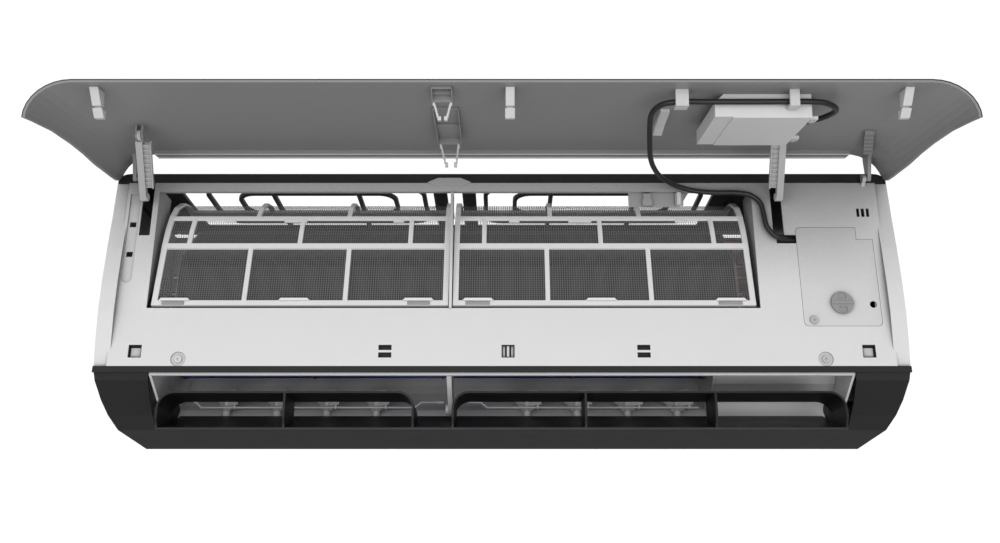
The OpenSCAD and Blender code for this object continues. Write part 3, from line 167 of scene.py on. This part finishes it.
# A grey of 0 to 255 as a screen shows it, turned to linear light, with a little more red or blue
def grey(value, warm=0.0, blue=0.0):
    c = value / 255
    c = c / 12.92 if c <= 0.04045 else ((c + 0.055) / 1.055) ** 2.4
    return (c * (1 + warm), c, c * (1 + blue))


# Finishes with their painted shade, under the names of the record's material slots
# Casing and cover: grain, plus a strong painted shade over a wide reach that darkens the upper casing
# under the raised panel
SHELL_GRAIN_AND_PAINTED_SHADE = dict(rough=0.42, grain=0.12, mottle=0.015, painted_shade=0.85, painted_shade_reach=0.16, painted_shade_power=2.0)
FINISHES = {
    "casing_light": dict(color=grey(240, 0, 0.01), **SHELL_GRAIN_AND_PAINTED_SHADE),
    "cover_light": dict(color=grey(233, 0, 0.01), **SHELL_GRAIN_AND_PAINTED_SHADE),
    "casing_dark": dict(color=grey(30), rough=0.62, grain=0.3, mottle=0.04, painted_shade=0.5),
    "top_black": dict(color=grey(30, 0, 0.03), rough=0.38, grain=0.15, mottle=0.06, painted_shade=0.2),
    "chassis_grey": dict(color=grey(222), rough=0.5, grain=0.15, mottle=0.04),
    "duct_grey": dict(color=grey(214), rough=0.5, grain=0.15, mottle=0.04),
    "pan_white": dict(color=grey(205), rough=0.5, grain=0.1),
    "support_white": dict(color=grey(235), rough=0.4, grain=0.05, mottle=0.02, painted_shade=0.3),
    "knob_grey": dict(color=grey(165), rough=0.4, grain=0.1),
    "screw_steel": dict(color=grey(222), rough=0.42, metal=0.7, mottle=0.03, painted_shade=0.5,
                        painted_shade_reach=0.002),
    # Painted shade: the dark stripes across X stand for the shaded gaps between separate fins
    "fin_aluminium": dict(color=grey(96), rough=0.42, metal=0.5, stripes=(0, 0.0024, 0.75),
                          painted_shade=0.2),
    "plate_zinc": dict(color=grey(170), rough=0.35, metal=0.9, mottle=0.12, mottle_scale=60),
    "tube_copper": dict(color=(0.56, 0.24, 0.13), rough=0.3, metal=1.0, mottle=0.1),
    "nut_brass": dict(color=(0.60, 0.42, 0.16), rough=0.28, metal=1.0, mottle=0.06),
    "blower_blue": dict(color=(0.012, 0.028, 0.24), rough=0.38, mottle=0.06, painted_shade=0.6),
    "shaft_steel": dict(color=grey(170), rough=0.25, metal=1.0, stripes=(0, 0.0006, 0.12)),
    "bearing_black": dict(color=grey(38), rough=0.6, grain=0.2),
    "motor_grey": dict(color=grey(120), rough=0.4, grain=0.1),
    "clamp_grey": dict(color=grey(170), rough=0.45, grain=0.15),
    "louver_black": dict(color=grey(16, -0.04, 0.08), rough=0.5, grain=0.12, mottle=0.04,
                         painted_shade=0.45),
    "vane_grey": dict(color=grey(205), rough=0.45, grain=0.1, mottle=0.04),
    "rod_grey": dict(color=grey(196), rough=0.4, grain=0.1),
    "filter_white": dict(color=grey(252), rough=0.38, grain=0.05, mottle=0.01, painted_shade=0.0),
    "net_grey": dict(color=grey(128), rough=0.6, mottle=0.05, painted_shade=0.0),
    "box_dark": dict(color=grey(60), rough=0.5, grain=0.15),
    "board_green": dict(color=(0.012, 0.09, 0.035), rough=0.3, mottle=0.2, mottle_scale=220),
    "terminal_ivory": dict(color=(0.60, 0.56, 0.42), rough=0.4),
    "bracket_grey": dict(color=grey(165), rough=0.45, grain=0.12),
    "sensor_white": dict(color=grey(232), rough=0.25, coat=0.3),
    "panel_grey": dict(color=grey(150), rough=0.42, grain=0.1, mottle=0.03, painted_shade=0.4,
                       painted_shade_reach=0.02),
    "skin_black": dict(color=grey(48), rough=0.22, coat=0.4, mottle=0.03),
    "clip_light": dict(color=grey(218), rough=0.42, grain=0.08, mottle=0.02),
    "stay_grey": dict(color=grey(200), rough=0.4, grain=0.08, mottle=0.03, painted_shade=0.5,
                      painted_shade_reach=0.004),
    "module_grey": dict(color=grey(232), rough=0.42, grain=0.1, mottle=0.02, painted_shade=0.3),
    "cable_black": dict(color=grey(34), rough=0.42, grain=0.1, grain_scale=600, mottle=0.04,
                        painted_shade=0.2),
}
materials = {name: material(name, **finish) for name, finish in FINISHES.items()}
slot_of = {s["node"]: s["material_slot"] for s in frame["record"]["subparts"]}
for name, obj in nodes.items():
    if obj.material_slots:
        for s in obj.material_slots:
            s.material = materials[slot_of[name]]
    else:
        obj.data.materials.append(materials[slot_of[name]])


# Mesh helpers
def mesh_piece(name, verts, faces, mat, body, smooth=False):
    me = bpy.data.meshes.new(name)
    me.from_pydata([tuple(v) for v in verts], [], faces)
    me.update()
    o = bpy.data.objects.new(name, me)
    bpy.context.scene.collection.objects.link(o)
    me.materials.append(materials[mat])
    if smooth:
        for p in me.polygons:
            p.use_smooth = True
    if body:
        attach(o, body)
    return o


# A smooth curve through all points p, at t of the way from point i to the next
def curve_point(p, i, t):
    a, b, c, d = p[max(i - 1, 0)], p[i], p[i + 1], p[min(i + 2, len(p) - 1)]
    return (b + (c - a) / 2 * t + (a - 2.5 * b + 2 * c - d / 2) * t * t
            + (1.5 * b - a / 2 - 1.5 * c + d / 2) * t ** 3)


def smooth_path(p, steps):
    return [curve_point(p, i, k / steps) for i in range(len(p) - 1) for k in range(steps)] + [p[-1]]


# A round tube along points, whose first side is set off from a direction that no route here takes
SIDE_HINT = Vector((0.1, 0.3, 1))


def tube(points, r, sides):
    verts, faces = [], []
    prev = None
    for i, p in enumerate(points):
        d = (points[min(i + 1, len(points) - 1)] - points[max(i - 1, 0)]).normalized()
        if prev is None:
            prev = d.cross(SIDE_HINT).normalized()
        prev = (prev - d * prev.dot(d)).normalized()
        side = d.cross(prev)
        for k in range(sides):
            a = 2 * math.pi * k / sides
            verts.append(p + r * (prev * math.cos(a) + side * math.sin(a)))
    for i in range(len(points) - 1):
        for k in range(sides):
            faces.append((i * sides + k, i * sides + (k + 1) % sides,
                          (i + 1) * sides + (k + 1) % sides, (i + 1) * sides + k))
    faces.append(tuple(reversed(range(sides))))
    faces.append(tuple((len(points) - 1) * sides + k for k in range(sides)))
    return verts, faces


# The cable from the module box to the electronics, the route as in the solids
loop_points = [(291, -344, 271), (303, -346, 271), (315, -358, 270), (319, -374, 268),
               (309, -389, 266), (292, -395, 266), (240, -395, 266), (190, -395, 266),
               (167, -395, 266), (150, -389, 266), (143, -372, 265)]
free_points = [(143.1, -370.8, 264.9), (145, -345, 263), (149, -315, 261), (154, -285, 260),
               (162, -255, 262), (174, -225, 265), (192, -205, 264), (214, -198, 260),
               (238, -197, 258)]
fixed_points = [(238, -197, 258), (262, -197, 258), (278, -197, 255), (288, -197, 246),
                (291, -197, 232), (293, -197, 218), (300, -197, 208), (308, -195, 204.5),
                (318, -190, 204), (326, -186.5, 204), (334, -184, 204)]
CABLE_STEPS = 5
CABLE_RADIUS = 0.00275
CABLE_SIDES = 16

route = [point(*q) for q in loop_points + free_points[1:] + fixed_points[1:]]
cable_line = smooth_path(route, CABLE_STEPS)
cable_verts, cable_faces = tube(cable_line, CABLE_RADIUS, CABLE_SIDES)
cable = mesh_piece("panel_cable", cable_verts, cable_faces, "cable_black", None, smooth=True)
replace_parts(cable, "panel_cable_loop", "panel_cable_free", "panel_cable_fixed")
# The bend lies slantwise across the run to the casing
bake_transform(cable)

# Filter nets: woven strands on the filters' curved section, given as (Y, Z) along the frame's face
filter_path = [(-190.5, 128.6), (-177.02, 205.03), (-171.26, 223.88), (-163.0, 243.02),
               (-150.9, 258.97), (-131.9, 272.0), (-110.0, 277.2), (-81.0, 274.9)]
NET_DEPTH = -3.25
PITCH_ACROSS, PITCH_ALONG = 2.6, 2.3
STRAND_W = 0.62
# How far a strand rises and dips where it crosses the others
STRAND_LIFT = 0.22


def normal(path, i):
    a, b = path[max(i - 1, 0)], path[min(i + 1, len(path) - 1)]
    d = Vector((b[0] - a[0], b[1] - a[1])).normalized()
    return Vector((-d.y, d.x))


def offset_path(path, t):
    return [Vector(p) + t * normal(path, i) for i, p in enumerate(path)]


def resample(path, step):
    out, carry = [path[0].copy()], 0.0
    for a, b in zip(path, path[1:]):
        length = (b - a).length
        s = step - carry
        while s <= length:
            out.append(a + (b - a) * s / length)
            s += step
        carry = (carry + length) % step
    return out


def net(name, x0, x1, body, node):
    line = resample(offset_path(filter_path, NET_DEPTH), PITCH_ALONG)
    normals = [normal(line, i) for i in range(len(line))]
    verts, faces = [], []
    count = int((x1 - x0) / PITCH_ACROSS)
    for c in range(count + 1):
        x = x0 + (x1 - x0) * c / count
        base = len(verts)
        for i, p in enumerate(line):
            q = p + normals[i] * (STRAND_LIFT * (1 if (i + c) % 2 else -1))
            verts.append(point(x - STRAND_W / 2, q.x, q.y))
            verts.append(point(x + STRAND_W / 2, q.x, q.y))
        for i in range(len(line) - 1):
            a = base + 2 * i
            faces.append((a, a + 1, a + 3, a + 2))
    for i, p in enumerate(line):
        d = Vector((normals[i].y, -normals[i].x))
        a, b = p - d * STRAND_W / 2, p + d * STRAND_W / 2
        base = len(verts)
        verts += [point(x0, a.x, a.y), point(x1, a.x, a.y), point(x1, b.x, b.y), point(x0, b.x, b.y)]
        faces.append((base, base + 1, base + 2, base + 3))
    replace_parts(mesh_piece(name, verts, faces, "net_grey", body), node)


net("woven_net_left", -381, -58.5, "filter_left", "filter_left_net")
net("woven_net_right", -53.5, 276, "filter_right", "filter_right_net")

# The panel's hinge, its inner face when closed, and the turn that raises it
HINGE_Y, HINGE_Z = -195, 276
PANEL_FACE = 226
TURN_COS, TURN_SIN = 0.15816, 0.98741


# A point given with the panel closed, h behind its inner face and z up, as (Y, Z) on the raised panel
def raised(h, z):
    dy, dz = h - PANEL_FACE - HINGE_Y, z - HINGE_Z
    return HINGE_Y + dy * TURN_COS + dz * TURN_SIN, HINGE_Z - dy * TURN_SIN + dz * TURN_COS


def rect(u0, v0, u1, v1):
    return [(u0, v0), (u1, v0), (u1, v1), (u0, v1)]


DISC_SIDES = 28


def disc(u, v, r):
    turns = [2 * math.pi * k / DISC_SIDES for k in range(DISC_SIDES)]
    return [(u + r * math.cos(a), v + r * math.sin(a)) for a in turns]


BEVEL_STEPS = 2
BEVEL_ANGLE = 40


# One piece of closed solids, each between two outlines of the same count, with eased edges
def rings(name, pairs, mat, body, bevel):
    verts, faces = [], []
    for low, high in pairs:
        n, base = len(low), len(verts)
        verts += low + high
        faces.append(tuple(range(base, base + n)))
        faces.append(tuple(range(base + 2 * n - 1, base + n - 1, -1)))
        for i in range(n):
            j = (i + 1) % n
            faces.append((base + i, base + n + i, base + n + j, base + j))
    o = mesh_piece(name, verts, faces, mat, body)
    bm = bmesh.new()
    bm.from_mesh(o.data)
    bmesh.ops.recalc_face_normals(bm, faces=bm.faces)
    bm.to_mesh(o.data)
    bm.free()
    mod = o.modifiers.new("edges", "BEVEL")
    mod.width = bevel / MM_PER_M
    mod.segments = BEVEL_STEPS
    mod.limit_method = "ANGLE"
    mod.angle_limit = math.radians(BEVEL_ANGLE)
    return o


# Parts are (outline, axis, from, to), drawn along the axis; on the panel an outline's Y is its h
def prisms(name, parts, mat, body, bevel, panel=False):
    pairs = []
    for outline, axis, start, end in parts:
        both = []
        for t in (start, end):
            ring = []
            for u, v in outline:
                x, y, z = {"x": (t, u, v), "y": (u, t, v)}[axis]
                if panel:
                    y, z = raised(y, z)
                ring.append(point(x, y, z))
            both.append(ring)
        pairs.append(both)
    return rings(name, pairs, mat, body, bevel)


# Latches at three places on the panel: a sloping foot, a joint line and a cap, each with its half width
LATCH_X = (-376, 7.5, 376)
LATCH_PARTS = (([(0.2, 60.5), (15.3, 70.5), (15.3, 77), (0.2, 77)], 4.2),
               ([(15, 73), (17.4, 74), (17.4, 77.5), (15, 77)], 3),
               ([(17, 71.5), (25, 77.5), (25, 82), (17, 82)], 4.6))
parts = [(outline, "x", x - half, x + half) for x in LATCH_X for outline, half in LATCH_PARTS]
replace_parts(prisms("latch_bodies", parts, "clip_light", "front_panel", 0.45, True), "panel_latches")

# Frames of the two clips in the middle of the panel: rising side walls, a high and a low edge, a plate
CLIP_FRAMES = ((60, 80, -65.8, -46, 9), (119, 213, -68.5, -42.5, 10))
FACE_GAP = 0.1
CLIP_WALL, CLIP_TOE, CLIP_EDGE = 1.3, 1.6, 1.5
CLIP_LOW_H, CLIP_PLATE_H = 2.4, 3.2
CLIP_PLATE_FROM, CLIP_PLATE_IN = 0.55, 1
parts = []
for z0, z1, x0, x1, h in CLIP_FRAMES:
    wall = [(FACE_GAP, z0), (CLIP_TOE, z0), (h, z1), (FACE_GAP, z1)]
    parts += [(wall, "x", x0, x0 + CLIP_WALL), (wall, "x", x1 - CLIP_WALL, x1),
              (rect(FACE_GAP, z1 - CLIP_EDGE, h, z1), "x", x0, x1),
              (rect(FACE_GAP, z0, CLIP_LOW_H, z0 + CLIP_EDGE), "x", x0, x1),
              (rect(FACE_GAP, z0 + (z1 - z0) * CLIP_PLATE_FROM, CLIP_PLATE_H, z1), "x",
               x0 + CLIP_PLATE_IN, x1 - CLIP_PLATE_IN)]
prisms("clip_frames", parts, "panel_grey", "front_panel", 0.25, True)

# Two prongs from each clip's high edge, which lean together and turn in at their ends
# Each clip: edge's height and depth, prongs' reach, distance from the clip's middle at root and end
CLIP_PRONGS = ((80, 9, 6.5, 8.2, 3.6), (213, 10, 34, 9.6, 5.4))
CLIP_X = -56
PRONG_STEPS = 6
PRONG_CURVE = 0.7
PRONG_HOOK, HOOK_FROM, HOOK_SPAN = 2.2, 0.8, 0.2
PRONG_T, PRONG_W = 0.9, 4
PRONG_DROP, PRONG_ROOT = 15, 1
parts = []
for z1, h, reach, w_root, w_end in CLIP_PRONGS:
    for side in (-1, 1):
        for k in range(PRONG_STEPS):
            a, b = k / PRONG_STEPS, (k + 1) / PRONG_STEPS
            bend = [w_root + (w_end - w_root) * t ** PRONG_CURVE
                    - PRONG_HOOK * max(0, t - HOOK_FROM) / HOOK_SPAN for t in (a, b)]
            low, high = sorted(CLIP_X + side * v for v in (min(bend), max(bend) + PRONG_T))
            h_a, h_b = h + PRONG_DROP * a - PRONG_ROOT, h + PRONG_DROP * b
            z_a, z_b = z1 + reach * a, z1 + reach * b
            outline = [(h_a, z_a), (h_b, z_b), (h_b, z_b + PRONG_W), (h_a, z_a + PRONG_W)]
            parts.append((outline, "x", low, high))
prongs = prisms("clip_prongs", parts, "clip_light", "front_panel", 0.15, True)
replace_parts(prongs, "panel_clips")

# Rim along the panel's hinge edge, with a groove before it
RIM_X = 391
RIM_OUTLINES = (rect(4.0, 268.4, 5.0, 271.0), rect(4.0, 280.6, 5.2, 284.6))
parts = [(outline, "x", -RIM_X, RIM_X) for outline in RIM_OUTLINES]
prisms("hinge_rim", parts, "clip_light", "front_panel", 0.25, True)

# Ribbed gusset beside the right hinge arm: corners as X, lower h, Z and upper h
GUSSET_CORNERS = ((381, 0.1, 193, 3), (391.5, 0.1, 193, 3), (409.8, 6.0, 252, 10), (400, 1.4, 252, 10))
# Its ribs start at the first corner and follow its length, lean and rise
GUSSET_X, GUSSET_Z, GUSSET_H = 381, 193, 3
GUSSET_LEAN, GUSSET_LENGTH, GUSSET_RISE = 19, 59, 7
RIB_COUNT = 5
RIB_FIRST, RIB_STEP = 0.15, 0.17
RIB_W, RIB_LENGTH = 10, 2.4
RIB_FOOT_TOP, RIB_END_TOP = 2.6, 1.6
low = [point(x, *raised(h, z)) for x, h, z, h_top in GUSSET_CORNERS]
high = [point(x, *raised(h_top, z)) for x, h, z, h_top in GUSSET_CORNERS]
gusset = [(low, high)]
for k in range(RIB_COUNT):
    s = RIB_FIRST + RIB_STEP * k
    x, z, h = GUSSET_X + GUSSET_LEAN * s, GUSSET_Z + GUSSET_LENGTH * s, GUSSET_H + GUSSET_RISE * s
    corners = [(x, z, RIB_FOOT_TOP), (x + RIB_W, z, RIB_FOOT_TOP),
               (x + RIB_W, z + RIB_LENGTH, RIB_END_TOP), (x, z + RIB_LENGTH, RIB_END_TOP)]
    gusset.append(([point(u, *raised(h, v)) for u, v, top in corners],
                   [point(u, *raised(h + top, v)) for u, v, top in corners]))
rings("hinge_gusset", gusset, "panel_grey", "front_panel", 0.3)

# Stays: their two pins as (Y, Z), and the directions along and across them
stay_top, stay_low = Vector((-293.11, 281.55)), Vector((-203.0, 250.0))
stay_along = stay_low - stay_top
stay_across = Vector((-stay_along.y, stay_along.x)).normalized()
# Slabs as shares of the length, then limits across it and along X: a flat leg towards the room, a thin
# web, an inner flange, a shelf at the side and the shelf's edge
STAY_SLABS = ((0.06, 1.0, -4.3, -2.6, -4.6, 2.6), (0.06, 1.0, -2.8, 2.6, -4.6, -3.2),
              (0.02, 0.97, -2.8, 3.4, 1.2, 2.6), (0.12, 0.8, -1.6, -0.4, 2.4, 11),
              (0.1, 0.82, -3.4, 1.4, 9.8, 11.2))
# Rows of ribs: count, first place, step and width as shares, then limits across and along X
STAY_RIBS = ((10, 0.12, 0.074, 0.016, -3.2, 1.2, 2.4, 10.4),
             (7, 0.14, 0.12, 0.014, -2.8, 2.6, -3.4, 1.4))
EYE_R, EYE_HOLE_R, EYE_HALF = 5.4, 2.1, 1.9
FOOT_R, FOOT_HALF = 4.5, 3.9


def stay(name, x_top, x_low, side, body, node):
    def at(s, off, w):
        q = stay_top + stay_along * s + stay_across * off
        return point(x_top + (x_low - x_top) * s + side * w, q.x, q.y)

    def slab(s0, s1, o0, o1, w0, w1):
        return [[at(s, o0, w0), at(s, o0, w1), at(s, o1, w1), at(s, o1, w0)] for s in (s0, s1)]

    pairs = [slab(*limits) for limits in STAY_SLABS]
    for count, first, step, width, *limits in STAY_RIBS:
        for k in range(count):
            s = first + k * step
            pairs.append(slab(s, s + width, *limits))
    eye, hole = disc(stay_top.x, stay_top.y, EYE_R), disc(stay_top.x, stay_top.y, EYE_HOLE_R)
    for k in range(DISC_SIDES):
        j = (k + 1) % DISC_SIDES
        quad = [eye[k], eye[j], hole[j], hole[k]]
        pairs.append([[point(x_top + w, u, v) for u, v in quad] for w in (-EYE_HALF, EYE_HALF)])
    foot = disc(stay_low.x, stay_low.y, FOOT_R)
    pairs.append([[point(x_low + w, u, v) for u, v in foot] for w in (-FOOT_HALF, FOOT_HALF)])
    o = rings(name, pairs, "stay_grey", body, 0.22)
    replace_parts(o, node)


stay("stay_arm_left", -375, -397, 1, "stay_left", "stay_left")
stay("stay_arm_right", 290, 307, -1, "stay_right", "stay_right")

# Painted shade in the latch pockets: thin dark sheets on the floor at the bottom and on four walls up to
# the casing's face
POCKET_X = (-392, -125, 6.5, 151.5, 392)
POCKET_FLOOR = (70.3, 83.7)
POCKET_WALL = (70.1, 83.9)
POCKET_HALF, WALL_HALF = 6.7, 6.9
SIDE_WALLS = ((-6.95, -6.2), (6.2, 6.95))
END_WALLS = ((70.05, 70.8), (83.2, 83.95))
FLOOR_DEPTHS = (-187.3, -186.8)
WALL_DEPTHS = (-191.4, -186.9)
parts = []
for x in POCKET_X:
    parts.append((rect(x - POCKET_HALF, POCKET_FLOOR[0], x + POCKET_HALF, POCKET_FLOOR[1]), "y",
                  *FLOOR_DEPTHS))
    for a, b in SIDE_WALLS:
        parts.append((rect(x + a, POCKET_WALL[0], x + b, POCKET_WALL[1]), "y", *WALL_DEPTHS))
    for a, b in END_WALLS:
        parts.append((rect(x - WALL_HALF, a, x + WALL_HALF, b), "y", *WALL_DEPTHS))
prisms("pocket_painted_shade", parts, "bearing_black", "chassis", 0.1)

# Light blocks in the outer pockets, and light bars in the middle one
BLOCK_X = (-392, 392)
BLOCK_HALF = 5.2
BLOCK_Z = (71.2, 81.2)
parts = [(rect(x - BLOCK_HALF, BLOCK_Z[0], x + BLOCK_HALF, BLOCK_Z[1]), "y", -188.6, -187.2)
         for x in BLOCK_X]
parts += [(rect(5.2, 71, 7.8, 83), "y", -190.4, -187.2),
          (rect(0.6, 71, 3.2, 83), "y", -189, -187.2),
          (rect(9.8, 71, 12.4, 83), "y", -189, -187.2)]
prisms("pocket_bars", parts, "casing_light", "chassis", 0.2)

# Painted shade in the slot that the cable goes into: a thin dark sheet on its floor
CABLE_SLOT = rect(300, 196, 326.4, 214)
prisms("cable_slot_painted_shade", [(CABLE_SLOT, "y", -181, -180.4)], "box_dark", "chassis", 0.1)

# Sensor bracket: a plate with a slanted end, a block with its cap, and two fingers
SENSOR_PARTS = (([(142.6, 245), (142.6, 271.5), (219, 271.5), (212.8, 265.6), (200, 245)], -187, -185.2),
                (rect(158.9, 245, 167.4, 259.5), -191.4, -186.8),
                (rect(157.6, 245.4, 168.8, 252.5), -191.8, -188),
                (rect(194.4, 246, 196.2, 259.5), -191.6, -186.8),
                (rect(201.8, 246, 203.6, 259.5), -191.6, -186.8))
parts = [(outline, "y", front, back) for outline, front, back in SENSOR_PARTS]
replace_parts(prisms("sensor_plate", parts, "bracket_grey", "chassis", 0.3), "sensor_bracket")

# Grip lips, by their middles, and small keepers, by their ends, on the filters' lower bars
FILTER_GRIPS = (("left", (-356, -226, -91), ((-369.5, -345.3), (-102.8, -78.2))),
                ("right", (-26, 108, 249), ((-39.7, -13.2), (235.4, 261.1))))
LIP_ROOT, LIP_END = (17, 133.4), (14.5, 136.6)
KEEPER_Z = (129.2, 132.6)
for side, lips, keepers in FILTER_GRIPS:
    parts = [([(x - LIP_ROOT[0], LIP_ROOT[1]), (x + LIP_ROOT[0], LIP_ROOT[1]),
               (x + LIP_END[0], LIP_END[1]), (x - LIP_END[0], LIP_END[1])], "y", -192.6, -189.9)
             for x in lips]
    prisms("filter_lips_" + side, parts, "filter_white", "filter_" + side, 0.4)
    parts = [(rect(a, KEEPER_Z[0], b, KEEPER_Z[1]), "y", -191.9, -190.2) for a, b in keepers]
    prisms("filter_keepers_" + side, parts, "bracket_grey", "filter_" + side, 0.35)

# A white backdrop for the camera, and a weaker white sky that lights the unit
WHITE = (1, 1, 1, 1)
SKY_LIGHT, BACKDROP_LIGHT = 0.38, 1.05
world = bpy.data.worlds.new("world")
bpy.context.scene.world = world
world.use_nodes = True
wn, wl = world.node_tree.nodes, world.node_tree.links.new
sky = wn["Background"]
sky.inputs["Color"].default_value = WHITE
sky.inputs["Strength"].default_value = SKY_LIGHT
backdrop = wn.new("ShaderNodeBackground")
backdrop.inputs["Color"].default_value = WHITE
backdrop.inputs["Strength"].default_value = BACKDROP_LIGHT
mix = wn.new("ShaderNodeMixShader")
wl(wn.new("ShaderNodeLightPath").outputs["Is Camera Ray"], mix.inputs["Fac"])
wl(sky.outputs["Background"], mix.inputs[1])
wl(backdrop.outputs["Background"], mix.inputs[2])
wl(mix.outputs["Shader"], wn["World Output"].inputs["Surface"])

# Two soft area lights that face the front: places and sizes in metres, power in watts
LIGHT_TARGET = (0, -0.19, 0.0)
LIGHTS = (("key", (-0.6, -2.6, -0.1), (2.6, 1.2), 15),
          ("fill", (0.2, -1.9, -1.15), (2.4, 1.0), 27))
for name, place, size, power in LIGHTS:
    light = bpy.data.lights.new(name, "AREA")
    light.shape = "RECTANGLE"
    light.size, light.size_y = size
    light.energy = power
    light_obj = bpy.data.objects.new(name, light)
    bpy.context.scene.collection.objects.link(light_obj)
    light_obj.location = place
    facing = (Vector(LIGHT_TARGET) - Vector(place)).to_track_quat("-Z", "Y")
    light_obj.rotation_euler = facing.to_euler()
bpy.context.scene.view_settings.view_transform = "Standard"

# Plain pale floor, well below the unit
FLOOR_Z, FLOOR_HALF = -1.2, 4
floor = bpy.data.meshes.new("floor")
corners = rect(-FLOOR_HALF, -FLOOR_HALF, FLOOR_HALF, FLOOR_HALF)
floor.from_pydata([(x, y, FLOOR_Z) for x, y in corners], [], [(0, 1, 2, 3)])
floor_obj = bpy.data.objects.new("floor", floor)
bpy.context.scene.collection.objects.link(floor_obj)
floor.materials.append(material("floor", grey(225), 0.7, mottle=0.02, painted_shade=0))

bpy.context.view_layer.update()
